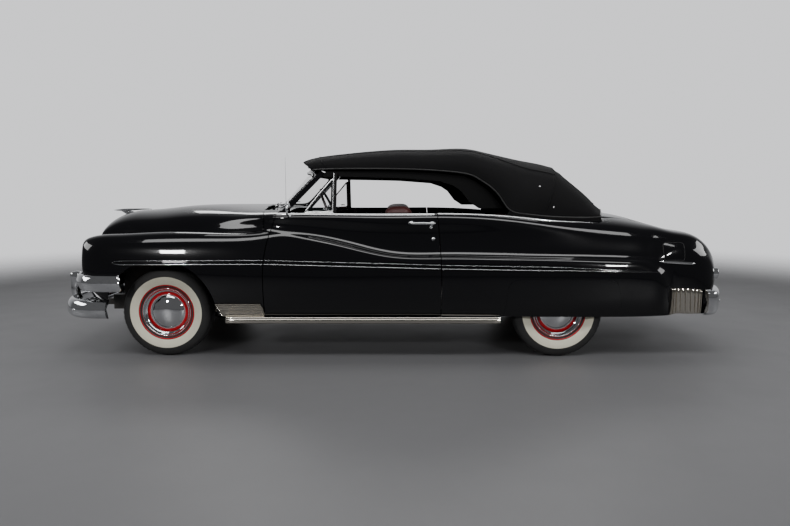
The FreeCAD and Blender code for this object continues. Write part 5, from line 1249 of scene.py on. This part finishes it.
def handle():
    """A pull handle: a tapered bar that bows off the door between two bosses, with its button and lock."""
    share = np.linspace(0, 1, 48)
    x = -98 - 194 * share
    foot, out = on_side(x, np.full(48, 1028.0))
    stand = 30 * (1 - np.clip((0.14 - share) / 0.14, 0, 1) ** 2)
    stand *= 1 - 0.55 * np.clip((share - 0.86) / 0.14, 0, 1) ** 2
    size = 0.55 + 0.45 * np.sin(math.pi * np.clip(share * 1.1, 0, 1)) ** 0.5
    size *= np.clip(np.minimum(share, 1 - share) / 0.02, 0.2, 1) ** 0.5
    bar = carried(foot + out * stand[:, None], oval(7, 9, 20, 2.4), size=size)
    parts = [bar]
    for x, z, wide, high, deep in ((-112, 1028, 21, 14, 12), (-268, 1024, 24, 17, 24),
                                   (-258, 995, 14, 14, 20), (-277, 910, 13, 13, 9)):
        at, way = on_side_at(x, z)
        parts.append(dome(at - way * 2, way, wide, high, deep, 8, 28))
    return together(*parts)


def rounded_loop(x0, x1, z0, z1, corner, count=72):
    """A rectangle's outline with round corners, by angle: a superellipse."""
    turn = np.linspace(0, 2 * math.pi, count, endpoint=False)
    c, n = np.cos(turn), np.sin(turn)
    x = (x0 + x1) / 2 + (x1 - x0) / 2 * np.sign(c) * np.abs(c) ** (2 / corner)
    z = (z0 + z1) / 2 + (z1 - z0) / 2 * np.sign(n) * np.abs(n) ** (2 / corner)
    return x, z


filler_x, filler_z = rounded_loop(-2154, -1998, 746, 881, 7)
filler_at, filler_out = on_side(filler_x, filler_z)
loop_turn = np.linspace(0, 2 * math.pi, 8, endpoint=False)
to_middle = filler_at.mean(axis=0) - filler_at
to_middle /= np.linalg.norm(to_middle, axis=1, keepdims=True)
seal_grid = (filler_at[:, None] + to_middle[:, None] * (2.2 * np.cos(loop_turn))[None, :, None]
             + filler_out[:, None] * (0.2 + 1.4 * np.sin(loop_turn))[None, :, None])
filler_seal = (seal_grid.reshape(-1, 3), grid_faces(72, 8, True, True))
lid_share = np.linspace(0, 1, 9)
lid_x = -2076 + (filler_x + 2076) * 0.965
lid_z = 813.5 + (filler_z - 813.5) * 0.96
lid_rings = [on_side(-2076 + (lid_x + 2076) * r, 813.5 + (lid_z - 813.5) * r) for r in lid_share[:0:-1]]
LID_RISE = [0.2, 2.0] + [2.4] * 6
lid_grid = np.stack([at + out * high for (at, out), high in zip(lid_rings, LID_RISE)])
filler_lid = tube(lid_grid)
for side, turned_over in SIDES:
    piece(f"door_{side}_handle", turned_over(handle()), chrome, f"door_{side}", 45)
piece("filler_seal", filler_seal, seal_rubber, "car_body", 60)
piece("filler_lid", filler_lid, body_black, "car_body", 40)

# Parking lamps: clear ribbed glass lenses in bright rims, screwed to the wing bar on each side
# of the teeth.
lens_clear = Finish("lens_clear", (0.75, 0.72, 0.66), 0.12, Metallic=0.35)
lens_clear.bump((lens_clear.parts(lens_clear.where())[1] * 900).sine() * 0.5 + 0.5, 0.0012, 0.6)


def wing_lamp(y):
    """A flat oval lens on the wing bar's face, with a rolled rim."""
    at, out = on_path(wing_path, y)
    at = at + out * 20 + (0, 0, 582)
    return dome(at, out, 66, 21, 7, 7, 48), dome(at - out * 2, out, 74, 28, 5, 5, 48)


lamps_in_wing = [wing_lamp(y) for y in (-655, 655)]
piece("parking_lamp_rims", together(*(rim for _, rim in lamps_in_wing)), chrome, "car_body", 50)
piece("parking_lamp_lenses", together(*(lens for lens, _ in lamps_in_wing)), lens_clear, "car_body", 60)

# Windscreen: curved laminated glass in a bright rolled surround and black rubber, with two
# spring-arm wipers at its foot and a cloth-covered board along the header inside.
SCREEN_BASE, SCREEN_TOP = np.array([1016, 0, 1122.0]), np.array([738, 0, 1448.0])
SCREEN_SIDE_BASE, SCREEN_SIDE_TOP = np.array([891, 0, 1104.0]), np.array([583, 0, 1425.0])


def screen(across, up, depth):
    """The windscreen's point: straight lines join parabolas at its foot and head; depth lies behind."""
    across, up, depth = (part[..., None] for part in np.broadcast_arrays(
        np.asarray(across, float), np.asarray(up, float), np.asarray(depth, float)))
    share = across * across
    low = SCREEN_BASE + (SCREEN_SIDE_BASE - SCREEN_BASE) * share
    high = SCREEN_TOP + (SCREEN_SIDE_TOP - SCREEN_TOP) * share
    point = low + (high - low) * up
    return point + (0, 1, 0) * (741 - 79 * up) * across + np.array([-0.76, 0, -0.65]) * depth


def screen_loop(side, low, high, depth, count=220, corner=9):
    """A round-cornered loop on the windscreen."""
    turn = np.linspace(0, 2 * math.pi, count, endpoint=False)
    c, n = np.cos(turn), np.sin(turn)
    across = side * np.sign(c) * np.abs(c) ** (2 / corner)
    up = (low + high) / 2 + (high - low) / 2 * np.sign(n) * np.abs(n) ** (2 / corner)
    return screen(across, up, depth)


def looped(path, section):
    """A closed section of (sideways, off the face) pairs carried round a closed loop."""
    path = np.asarray(path, float)
    run = np.roll(path, -1, axis=0) - np.roll(path, 1, axis=0)
    run /= np.linalg.norm(run, axis=1, keepdims=True) + 1e-9
    spoke = path - path.mean(axis=0)
    face = np.linalg.svd(spoke)[2][2]
    side = np.cross(run, face)
    side /= np.linalg.norm(side, axis=1, keepdims=True) + 1e-9
    section = np.asarray(section, float)
    grid = path[:, None] + side[:, None] * section[None, :, :1] + face * section[None, :, 1:]
    return grid.reshape(-1, 3), grid_faces(len(path), len(section), True, True)


glass_across, glass_up = np.meshgrid(np.linspace(0.9396, -0.9396, 61), np.linspace(0.0907, 0.8993, 21),
                                     indexing="ij")
screen_glass = walled(screen(glass_across, glass_up, 17), screen(glass_across, glass_up, 23))
surround = looped(screen_loop(0.953, 0.077, 0.913, -2), oval(10, 5, 12))
screen_rubber = looped(screen_loop(0.938, 0.092, 0.898, 6), oval(7, 8, 12))
clear_glass = Finish("clear_glass", (0.02, 0.03, 0.028), 0.01, Alpha=0.1)
clear_glass.bump(clear_glass.noise(3, 2), 0.00002, 0.2)
piece("windscreen_glass", screen_glass, clear_glass, "car_body", 40, ["windshield_glass"])
piece("windscreen_surround", surround, bright, "car_body", 60)
piece("windscreen_rubber", screen_rubber, seal_rubber, "car_body", 60)


def wiper(side):
    """A wiper at rest: a bowed arm from its spindle and a rubber blade in a bright spine."""
    share = np.linspace(0, 1, 30)
    foot = screen(side * 0.3, 0.02, -12)
    blade = screen(side * (0.14 + 0.56 * share), 0.115 + 0.02 * share, -11)
    arm = screen(side * (0.3 + 0.12 * share), 0.02 + 0.1 * share, -16 - 7 * np.sin(math.pi * share))
    spindle = dome(foot + (6, 0, 4), (0.5, 0, 0.86), 14, 14, 12, 6, 20)
    return together(carried(arm, oval(4, 2.5, 10)), carried(blade, oval(3, 5, 10)), spindle)


piece("wipers", together(wiper(1), wiper(-1)), bright, "car_body", 50)
header_share = np.linspace(0.93, -0.93, 61)
header_board = carried(screen(header_share, 0.95, 50), oval(14, 13, 16, 3))
trim_olive = Finish("trim_olive", (0.075, 0.075, 0.06), 0.8)
trim_olive.bump(trim_olive.noise(700, 3), 0.0005, 0.5)
trim_tone = trim_olive.noise(6, 3)
trim_olive.set(**{"Base Color": trim_olive.mix(trim_tone, (0.08, 0.08, 0.064), (0.055, 0.055, 0.045)),
                  "Roughness": 0.7 + 0.2 * trim_tone})
piece("header_board", header_board, trim_olive, "car_body", 40)

# Vent windows: small hinged panes in bright frames ahead of the door glass, on an upright
# channel that the door glass runs in.
VENT_PATH = [(478, 1112), (478, 1250), (481, 1354), (492, 1352), (590, 1238), (682, 1118), (686, 1107),
             (600, 1104)]


def vent_window():
    """The frame round the three-cornered pane, the pane, the upright channel and its catch."""
    loop = np.array([(x, 809, z) for x, z in VENT_PATH], float)
    closed = np.concatenate([loop, loop[:1]])
    run = np.concatenate([[0], np.cumsum(np.linalg.norm(np.diff(closed, axis=0), axis=1))])
    place = np.linspace(0, run[-1], 150, endpoint=False)
    path = np.stack([np.interp(place, run, closed[:, k]) for k in range(3)], axis=-1)
    frame_part = looped(path, oval(7, 7, 14, 3))
    post = carried([(478, 812, 1092), (478, 812, 1200), (478, 812, 1403)], oval(3, 7, 16, 4), up=(0, 1, 0))
    sill = carried([(472, 809, 1098), (580, 809, 1098), (690, 809, 1098)], oval(7, 8, 16, 4))
    catch = carried([(520, 800, 1126), (524, 790, 1132), (556, 784, 1128)], oval(5, 5, 12))
    return together(frame_part, post, sill, catch)


def vent_pane():
    """A thin three-cornered pane between the frame's upright, slope and foot."""
    u, v = np.meshgrid(np.linspace(0, 1, 9), np.linspace(0, 1, 9), indexing="ij")
    x = 484 + (188 - 186 * v) * u
    z = 1112 + 236 * v * np.ones_like(u)
    outer, inner = (np.stack([x, np.full_like(x, y), z], axis=-1) for y in (811.5, 806.5))
    return walled(outer, inner)


vent_posts = [(466, 1094, 1402, oval(9, 12, 20, 5)), (489, 1096, 1352, oval(6.5, 8, 20, 5))]
vent_channel = together(*(carried([(x, 808, low), (x, 808, 1200), (x, 808, high)], ring[:, ::-1], up=(0, 1, 0))
                          for x, low, high, ring in vent_posts))


def leaned(part):
    """The part leans in towards the roof above the belt, as the door glass does."""
    points, faces = part
    lean = 0.31 * np.maximum(0, points[:, 2:] - 1092)
    return points - lean * (0, 1, 0), faces


for side, turned_over in SIDES:
    body = f"door_{side}"
    piece(f"vent_{side}_channel", turned_over(leaned(vent_channel)), rail_black, body, 50)
    piece(f"vent_{side}_frame", turned_over(leaned(vent_window())), bright, body, 50,
          [f"vent_window_{side}"])
    piece(f"vent_{side}_pane", turned_over(leaned(vent_pane())), clear_glass, body, 30)

# Door mirror: a plated cup on a short bent stem, clamped on the left door's edge, with a
# silvered glass that faces the driver.
MIRROR_CUP = [(0, 0), (0, 53), (-2, 55), (0, 57.6), (5, 58), (11, 53), (17, 43), (21, 28), (22.5, 12),
              (23, 0)]
mirror_cup = spun(curve_through(MIRROR_CUP[1:], 30), (799, 885, 1130), 72, "x", False)
mirror_glass = spun([(0.2, 0), (0.2, 53.5), (-1.5, 52.5), (-1.8, 0)], (799, 885, 1130), 72, "x", False)
STEM_LINE = [(812, 884, 1110), (802, 880, 1086), (774, 872, 1070), (748, 866, 1062)]
FOOT_PLACES = [(771, 862, 1072), (730, 862, 1070), (698, 862, 1058)]
mirror_stem = carried(curve_through(STEM_LINE, 30), oval(6, 6, 16), up=(0, 1, 0))
mirror_foot = carried(curve_through(FOOT_PLACES, 20), oval(13, 5, 18, 3), size=[0.5] + [1] * 18 + [0.5])
silvered = Finish("silvered", (0.86, 0.88, 0.88), 0.015, Metallic=1.0)
silvered.bump(silvered.noise(4, 1), 0.00002, 0.2)
piece("mirror_body", together(mirror_cup, mirror_stem, mirror_foot), chrome, "door_left", 50,
      ["door_mirror"])
piece("mirror_face", mirror_glass, silvered, "door_left", 30)

# Hood ornament and aerial: a plain cast spear on a raked fin with two short swept blades,
# bolted through the hood, and a telescopic rod beside the windscreen.
spear_x = np.linspace(2493, 2156, 60)
spear_share = np.linspace(0, 1, 60)
spear_size = np.clip(np.sin(math.pi * np.clip(0.5 * spear_share / 0.32, 0, 0.5)), 0.06, 1) ** 0.8
spear_size *= 1 - 0.75 * np.clip((spear_share - 0.32) / 0.68, 0, 1) ** 1.4
spear = carried(np.stack([spear_x, 0 * spear_x, 1104 - 5 * np.cos(math.pi * spear_share)], axis=-1),
                oval(13, 10, 24), size=spear_size)
fin_v, fin_u = np.meshgrid(np.linspace(0, 1, 24), np.linspace(0, 1, 12), indexing="ij")
fin_x = 2440 - 92 * fin_u - fin_v * (70 + 26 * fin_u)
fin_z = 1102 + (1042 + 26 * fin_v - 1102) * fin_u
fin_half = 1.5 + 7 * np.sin(math.pi * np.clip(fin_v * 0.9 + 0.05, 0, 1)) ** 0.7 * (0.6 + 0.6 * fin_u)
fin = walled(np.stack([fin_x, fin_half, fin_z], axis=-1), np.stack([fin_x, -fin_half, fin_z], axis=-1))


def ornament_blade():
    """A short blade swept back from the spear: thin, and narrower towards its tip."""
    u, v = np.meshgrid(np.linspace(0, 1, 14), np.linspace(0, 1, 10), indexing="ij")
    x = 2420 - 40 * v - u * (150 - 84 * v)
    y = 6 + 58 * v
    z = 1109 + 3 * v + 0 * u
    thin = (0.6 + 3.4 * np.sin(math.pi * u) * (1 - 0.8 * v))
    return walled(np.stack([x, y, z + thin], axis=-1), np.stack([x, y, z - thin], axis=-1))


blade_part = ornament_blade()
piece("ornament_body", together(spear, fin, blade_part, other_side(blade_part)), chrome, "hood", 50,
      ["hood_ornament"])
aerial_foot = skin(crossing(straight_edge(1123), np.array([4.15])), np.array([4.15]))[0] * (1, -1, 1)
aerial_line = aerial_foot + np.outer([0, 0.5, 1], (0, 0, 1605 - aerial_foot[2]))
aerial = carried(aerial_line, oval(2.2, 2.2, 10), up=(0, 1, 0), size=[1, 0.8, 0.5])
aerial_base = dome(aerial_foot - (0, 0, 4), (0, 0, 1), 15, 15, 30, 8, 28, up=(1, 0, 0))
piece("aerial", together(aerial, aerial_base), bright, "car_body", 50)

# Soft top's fittings: a bound edge, flat-felled seams along and across the cloth, a rear window sewn in
# under a binding as an opaque glossy pane whose dark grey is painted shade of the cabin behind it, and
# two press studs a side.
vinyl_black = Finish("vinyl_black", (0.006, 0.006, 0.006), 0.38)
vinyl_black.bump(vinyl_black.noise(500, 2), 0.0003, 0.4)
edge_row = np.linspace(0, TOP_SPANS[-1], 120)


def on_cloth(row, share, lift):
    """The cloth's outer face, lifted off it."""
    row, share = np.broadcast_arrays(np.asarray(row, float), np.asarray(share, float))
    step = 0.004
    inner = np.clip(share, -0.985, 0.985)
    near, far = np.maximum(row - step, 0), np.minimum(row + step, TOP_SPANS[-1])
    normal = np.cross(top_point(far, inner) - top_point(near, inner),
                      top_point(row, inner - step) - top_point(row, inner + step))
    normal /= np.linalg.norm(normal, axis=-1, keepdims=True) + 1e-9
    return top_point(row, share) + normal * lift


def cloth_seam(rows, shares, half, lift=1.6):
    """A flat seam that lies on the cloth between two lifted edges."""
    spine = on_cloth(rows, shares, 0.2)
    return carried(spine, oval(half, lift, 12, 3))


binding = together(*(carried(on_cloth(edge_row, share, 0) - (0, 0, 1), oval(4, 6, 12)) for share in (1, -1)))
around = np.linspace(1, -1, 140)
binding_ends = together(carried(on_cloth(np.full(140, 0.0), around, 0), oval(5, 5, 12)),
                        carried(on_cloth(np.full(140, TOP_SPANS[-1]), around, 1), oval(5, 5, 12)))
piece("canvas_binding", together(binding, binding_ends), vinyl_black, "car_body", 60)
tacked_row = np.linspace(11, TOP_SPANS[-1], 60)
tacked = np.concatenate([on_cloth(tacked_row, np.full(60, 1.0), 0),
                         on_cloth(np.full(138, TOP_SPANS[-1]), around[1:-1], 0),
                         on_cloth(tacked_row[::-1], np.full(60, -1.0), 0)])
apron_section = [(-1.5, -42), (1.5, -42), (1.5, 3), (-1.5, 3)]
piece("canvas_apron", carried(tacked, apron_section), canvas_black, "car_body", 60)
seam_rows = np.linspace(0.2, 13.2, 180)
seams = [cloth_seam(seam_rows, np.full(180, share), 8) for share in (0.46, -0.46)]
seams += [cloth_seam(np.full(120, row), np.linspace(0.97, -0.97, 120), 8) for row in (3.0, 13.2)]
piece("canvas_seams", together(*seams), canvas_black, "car_body", 60)
win_row, win_share = np.meshgrid(np.linspace(14.1, 16.6, 30), np.linspace(0.4, -0.4, 60), indexing="ij")
rear_window = walled(on_cloth(win_row, win_share, 2.0), on_cloth(win_row, win_share, 0.3))
turn = np.linspace(0, 2 * math.pi, 160, endpoint=False)
loop_row = 15.35 + 1.25 * np.sign(np.sin(turn)) * np.abs(np.sin(turn)) ** 0.3
loop_share = 0.4 * np.sign(np.cos(turn)) * np.abs(np.cos(turn)) ** 0.3
window_loop = on_cloth(loop_row, loop_share, 1.5)
ring_turn = np.linspace(0, 2 * math.pi, 10, endpoint=False)
spoke = window_loop.mean(axis=0) - window_loop
spoke /= np.linalg.norm(spoke, axis=1, keepdims=True)
lift_way = on_cloth(loop_row, loop_share, 2.5) - window_loop
window_ring = (window_loop[:, None] + spoke[:, None] * (9 * np.cos(ring_turn))[None, :, None]
               + lift_way[:, None] * (3.4 * np.sin(ring_turn))[None, :, None])
window_binding = (window_ring.reshape(-1, 3), grid_faces(160, 10, True, True))
# Painted shade: the rear window is an opaque pane on the cloth, and its dark grey stands for the shaded cabin
# seen through clear vinyl.
window_painted_shade = Finish("window_painted_shade", (0.03, 0.034, 0.034), 0.06)
window_painted_shade.bump(window_painted_shade.noise(9, 3), 0.0008, 0.5)
piece("rear_window", rear_window, window_painted_shade, "car_body", 30)
piece("rear_window_binding", window_binding, vinyl_black, "car_body", 60)
studs = [dome(on_cloth(row, share, 0), on_cloth(row, share, 2) - on_cloth(row, share, 0), 7, 7, 4, 5, 16)
         for row, share in ((12.2, 0.72), (12.2, -0.72), (13.6, 0.93), (13.6, -0.93))]
piece("canvas_studs", together(*studs), bright, "car_body", 50)

# Seats: two benches of springs under horsehair and dark red hide, sewn in upright pleats
# between plain bolsters, with piped edges, on a pressed base behind a kick board.
hide = Finish("hide", (0.06, 0.012, 0.011), 0.42)
creases = hide.node("TexVoronoi", {"feature": "DISTANCE_TO_EDGE"}, {"Vector": hide.where(), "Scale": 420})
tone = hide.noise(9, 5)
hide.set(**{"Base Color": hide.mix(tone, (0.07, 0.014, 0.012), (0.038, 0.008, 0.008)),
            "Roughness": 0.34 + 0.2 * tone})
hide.bump(creases.above(0.06, 0.1), 0.0004, 0.6)
PLEAT = 62


def cushion(section, half, pleated, border=96, ring_count=72, across_count=171, full=7):
    """A stuffed bench: its section swells by a slow wave, with its pleats' seams drawn in.

    Its ends round off as a quarter circle. pleated gives, as shares of the section's length, where
    the sewn pleats begin and end.
    """
    ring = curve_through(section, ring_count, True)
    run = np.roll(ring, -1, axis=0) - np.roll(ring, 1, axis=0)
    normal = np.stack([-run[:, 1], run[:, 0]], axis=-1)
    normal /= np.linalg.norm(normal, axis=1, keepdims=True)
    middle = ring.mean(axis=0)
    if ((ring - middle) * normal).sum() < 0:
        normal = -normal
    share = np.arange(ring_count) / ring_count
    y = half * np.sin(np.linspace(-math.pi / 2, math.pi / 2, across_count))
    inset = np.clip((half - np.abs(y)) / 45, 0, 1)
    inserted = np.clip(np.minimum(share - pleated[0], pleated[1] - share) / 0.025, 0, 1)
    within = np.clip((half - border - np.abs(y)) / 12, 0, 1)
    groove = np.abs(np.sin(math.pi * y / PLEAT)) ** 0.55 - 1
    sunk = 9 * groove[:, None] * (inserted[None, :] * within[:, None])
    swell = full * np.sin(2 * math.pi * share)[None, :] ** 2
    swell = swell * np.sin(math.pi * (y / half + 1) / 2)[:, None] ** 0.5
    seam = -5 * np.exp(-((np.abs(y) - half + border) / 6) ** 2)[:, None] * np.ones(ring_count)
    offset = (sunk + swell + seam)[..., None] * normal[None]
    close = (1 - (1 - inset) ** 2) ** 0.5
    close = close[:, None, None]
    flat = middle + (ring[None] - middle) * (0.72 + 0.28 * close) + offset * close
    grid = np.stack([flat[..., 0], np.broadcast_to(y[:, None], flat.shape[:2]), flat[..., 1]], axis=-1)
    return tube(grid)


def piping(section, half, at, ring_count=110):
    """A cord sewn in the seam between the pleats and a bolster: a loop round the section."""
    ring = curve_through(section, ring_count, True)
    middle = ring.mean(axis=0)
    ring = middle + (ring - middle) * 1.012
    return looped(np.stack([ring[:, 0], np.full(ring_count, float(at)), ring[:, 1]], axis=-1), oval(4, 4, 8))


FRONT_CUSHION = [(190, 560), (182, 660), (196, 722), (290, 742), (440, 750), (590, 752), (652, 736),
                 (672, 695), (662, 620), (640, 562), (400, 550)]
FRONT_BACK = [(-30, 560), (-72, 800), (-116, 1050), (-112, 1104), (-78, 1134), (0, 1138), (62, 1124),
              (88, 1082), (124, 920), (160, 760), (186, 640), (120, 560)]
REAR_CUSHION = [(-858, 560), (-866, 680), (-850, 732), (-760, 744), (-620, 748), (-470, 752), (-414, 736),
                (-400, 695), (-414, 600), (-430, 540), (-640, 530)]
REAR_BACK = [(-880, 600), (-960, 780), (-1074, 990), (-1070, 1034), (-1040, 1052), (-960, 1052),
             (-922, 1028), (-904, 960), (-880, 840), (-860, 700), (-850, 610)]
benches = [
    ("front_seat_cushion", FRONT_CUSHION, 655, (0.16, 0.5), ["front_seat"]),
    ("front_seat_back", FRONT_BACK, 655, (0.46, 0.9), ()),
    ("rear_seat_cushion", REAR_CUSHION, 600, (0.16, 0.5), ["rear_seat"]),
    ("rear_seat_back", REAR_BACK, 600, (0.4, 0.92), ()),
]
for name, section, half, pleated, nodes in benches:
    stuffed = piece(name, cushion(section, half, pleated), hide, "car_body", 60, nodes)
    cords = together(*(piping(section, half, side * (half - 96)) for side in (1, -1)))
    piece(f"{name}_piping", cords, hide, "car_body", 60)
seat_vinyl = Finish("seat_vinyl", (0.03, 0.008, 0.008), 0.5)
seat_vinyl.bump(seat_vinyl.noise(300, 2), 0.0004, 0.5)


def plinth(x0, x1, z0, z1, half):
    """A seat's base: a box with rounded corners, along the car's width."""
    ring = oval((x1 - x0) / 2, (z1 - z0) / 2, 40, 10) + ((x0 + x1) / 2, (z0 + z1) / 2)
    y = np.linspace(-half, half, 5)
    grid = np.stack([np.broadcast_to(ring[:, 0], (5, 40)), np.broadcast_to(y[:, None], (5, 40)),
                     np.broadcast_to(ring[:, 1], (5, 40))], axis=-1)
    return tube(grid)


piece("seat_bases", together(plinth(-30, 630, 360, 572, 640), plinth(-620, -440, 360, 560, 590)), seat_vinyl,
      "car_body", 40)

# Dashboard: a rolled steel panel in the body's colour with a plated strip, three round dials,
# a speaker's grille and a glove box, over the steering column.
DASH = [(722, 872), (704, 930), (691, 990), (692, 1036), (708, 1066), (752, 1080), (840, 1080), (892, 1052),
        (948, 1030), (950, 940), (900, 884), (800, 868)]
dash_y = np.linspace(-699.5, 699.5, 61)
dash_ring = curve_through(DASH, 72, True)
dash_grid = np.stack([np.broadcast_to(dash_ring[:, 0], (61, 72)), np.broadcast_to(dash_y[:, None], (61, 72)),
                      np.broadcast_to(dash_ring[:, 1], (61, 72))], axis=-1)
TILT = math.radians(25)
WHEEL_AT = np.array([522, 380, 1072.0])
WHEEL_AXIS = np.array([-math.cos(TILT), 0, math.sin(TILT)])
WHEEL_UP = np.cross((0, 1, 0), WHEEL_AXIS)
column_line = WHEEL_AT - WHEEL_AXIS * np.array([[112], [320], [525]])
column = carried(column_line, oval(28, 28, 32), up=(0, 1, 0))
piece("dash_panel", together(tube(dash_grid), column), body_black, "car_body", 50, ["dashboard"])


def dial(y, z, size):
    """A dial's rim and its face, let into the dashboard."""
    rim_line = [(4, size), (-6, size), (-9, size - 3), (-6, size - 8), (-2, size - 9), (4, size - 9)]
    rim = spun(rim_line, (690, y, z), 64, "x")
    face = spun([(-3, 0), (-3, size - 7), (1, size - 7), (1, 0)], (690, y, z), 64, "x", False)
    needle_line = [(685, y + size * out, z + size * up) for out, up in ((0, 0), (0.3, 0.36), (0.45, 0.55))]
    needle = carried(needle_line, oval(1.5, 1.5, 8))
    return together(rim, needle), face


dials = [dial(380, 1012, 62), dial(215, 1008, 42), dial(0, 1008, 42)]
dial_face = Finish("dial_face", (0.02, 0.02, 0.022), 0.25)
dial_face.bump(dial_face.noise(500, 1), 0.0002, 0.3)
dash_strip = carried([(690, -690, 958), (690, 0, 958), (690, 690, 958)], oval(8, 9, 20, 3))
speaker = together(*(carried([(694, -70, z), (691, 0, z), (694, 70, z)], oval(5, 3, 12)) for z in
                     range(884, 950, 11)))
glove_line = np.stack([np.full(72, 694.0), *rounded_loop(-560, -250, 975, 1040, 9)], axis=-1)
glove = looped(glove_line, oval(2.5, 2.5, 8))
knobs = together(*(dome((694, y, 925), (-1, 0, -0.1), 11, 11, 20, 6, 20)
                   for y in (300, 250, 180, 130, -130, -180)))
piece("dash_brightwork", together(*(rim for rim, _ in dials), dash_strip, speaker, glove, knobs), chrome,
      "car_body", 45)
piece("dash_dials", together(*(face for _, face in dials)), dial_face, "car_body", 40)

# Steering wheel: moulded over a steel ring with finger grips, two sprung spokes and a half
# horn ring, on the column's shaft.
wheel_plastic = Finish("wheel_plastic", (0.012, 0.004, 0.004), 0.2)
wheel_plastic.bump(wheel_plastic.noise(200, 2), 0.0001, 0.3)


def on_wheel(out, up, lift):
    """A place on the steering wheel: out to the car's left, up its plane, and along its axis."""
    out, up, lift = np.broadcast_arrays(*(np.asarray(part, float) for part in (out, up, lift)))
    return (WHEEL_AT + out[..., None] * np.array([0, 1.0, 0]) + up[..., None] * WHEEL_UP
            + lift[..., None] * WHEEL_AXIS)


wheel_turn, wheel_round = np.meshgrid(np.linspace(0, 2 * math.pi, 180, endpoint=False),
                                      np.linspace(0, 2 * math.pi, 18, endpoint=False), indexing="ij")
grip = 11.6 - 1.6 * np.abs(np.sin(18 * wheel_turn)) * (np.cos(wheel_round - math.pi) > -0.3)
ring_reach = 222 + grip * np.cos(wheel_round)
ring_points = on_wheel(ring_reach * np.cos(wheel_turn), ring_reach * np.sin(wheel_turn),
                       grip * np.sin(wheel_round))
wheel_ring = (ring_points.reshape(-1, 3), grid_faces(180, 18, True, True))


def on_axis(profile, count=48):
    """A profile of (lift, radius) pairs spun about the wheel's axis."""
    profile = np.asarray(profile, float)
    turn = np.linspace(0, 2 * math.pi, count, endpoint=False)[:, None]
    points = on_wheel(profile[None, :, 1] * np.cos(turn), profile[None, :, 1] * np.sin(turn),
                      profile[None, :, 0] + 0 * turn)
    return points.reshape(-1, 3), grid_faces(count, len(profile), True, False)


spoke_share = np.linspace(-1, 1, 41)
spokes = carried(on_wheel(218 * spoke_share, 0 * spoke_share, -9 - 12 * np.cos(math.pi * spoke_share / 2)),
                 oval(5, 13, 16, 3), up=tuple(WHEEL_UP), size=1.15 - 0.35 * np.abs(spoke_share))
hub = on_axis([(-174, 0), (-174, 18), (-60, 18), (-46, 30), (-28, 36), (-10, 38), (-4, 36), (-2, 0)])
piece("steering_wheel_rim", together(wheel_ring, spokes, hub), wheel_plastic, "steering_wheel", 50,
      ["steering_wheel"])
horn_turn = np.linspace(math.pi * 1.03, math.pi * 1.97, 60)
horn_ring = carried(on_wheel(126 * np.cos(horn_turn), 126 * np.sin(horn_turn) + 4, -4 + 0 * horn_turn),
                    oval(4, 4, 12), up=tuple(WHEEL_AXIS))
horn_arms = carried(on_wheel(spoke_share * 126, 0 * spoke_share, -4 + 0 * spoke_share), oval(3, 5, 12),
                    up=tuple(WHEEL_UP))
horn_button = on_axis([(-3, 0), (-3, 32), (0, 33), (5, 30), (8, 22), (10, 12), (10.5, 0)])
piece("horn_ring", together(horn_ring, horn_arms, horn_button), chrome, "steering_wheel", 50)

# Door trims: boards covered in the seats' hide with a padded upper panel, an arm rest, a
# window crank and a lever, screwed to the doors' inner sides.
def door_trim():
    """A board on the door's inner side, swelling between three level seams, with rounded edges."""
    by_seam = np.array([-0.02, -0.012, -0.007, -0.003, 0, 0.003, 0.007, 0.012, 0.02])
    v_line = np.unique(np.concatenate([np.linspace(0, 1, 26), 0.36 + by_seam, 0.88 + by_seam]))
    u, v = np.meshgrid(np.linspace(0, 1, 104), v_line, indexing="ij")
    front = 893 - 78 * np.clip((380 + 665 * v - 600) / 460, 0, 1) ** 2.2 * (93 / 80)
    x = front + (-282 - front) * u
    z = 380 + 665 * v
    edge = np.clip(np.minimum(np.minimum(u, 1 - u) * 1170, np.minimum(v, 1 - v) * 665) / 14, 0, 1)
    pleats = np.abs(np.sin(math.pi * x / PLEAT)) ** 0.6
    pleats = pleats * np.clip((v - 0.36) / 0.02, 0, 1) * np.clip((0.88 - v) / 0.02, 0, 1)
    seams = np.exp(-((v - 0.36) / 0.008) ** 2) + np.exp(-((v - 0.88) / 0.008) ** 2)
    high = 5 * (1 - (1 - edge) ** 2) ** 0.5 + 3.5 * pleats * edge - 2.5 * seams * edge
    return walled(np.stack([x, 799.5 - high, z], axis=-1), np.stack([x, np.full_like(x, 799.6), z], axis=-1))


arm_share = np.linspace(0, 1, 40)
arm_size = np.clip(np.minimum(arm_share, 1 - arm_share) / 0.12, 0.15, 1) ** 0.5
arm_high = 742 + 8 * np.sin(math.pi * arm_share)
arm_line = np.stack([300 - 420 * arm_share, np.full(40, 762.0), arm_high], axis=-1)
arm_rest = carried(arm_line, oval(32, 24, 28, 3), size=arm_size)


def crank(x, z, long, knob=True):
    """A handle: a boss, a tapered arm down its side and a knob."""
    boss = dome((x, 795, z), (0, -1, 0), 19, 19, 26, 7, 28)
    arm_places = [(x, 774, z), (x - 0.35 * long, 768, z - 0.1 * long), (x - long, 762, z - 0.16 * long)]
    arm = carried(arm_places, oval(4, 8, 14), size=[1.1, 0.9, 0.7])
    if not knob:
        return together(boss, arm)
    return together(boss, arm, dome((x - long, 764, z - 0.16 * long), (0, -1, 0), 11, 11, 24, 6, 20))


for side, turned_over in SIDES:
    piece(f"door_{side}_trim", turned_over(door_trim()), hide, f"door_{side}", 50)
    piece(f"door_{side}_arm_rest", turned_over(arm_rest), hide, f"door_{side}", 60)
    cranks = together(crank(420, 820, 96), crank(640, 900, 88, False))
    piece(f"door_{side}_cranks", turned_over(cranks), chrome, f"door_{side}", 50)

# Cowl: the pressed steel structure round the windscreen, welded to the floor and painted with
# the body.
dress(body_black, "cowl")
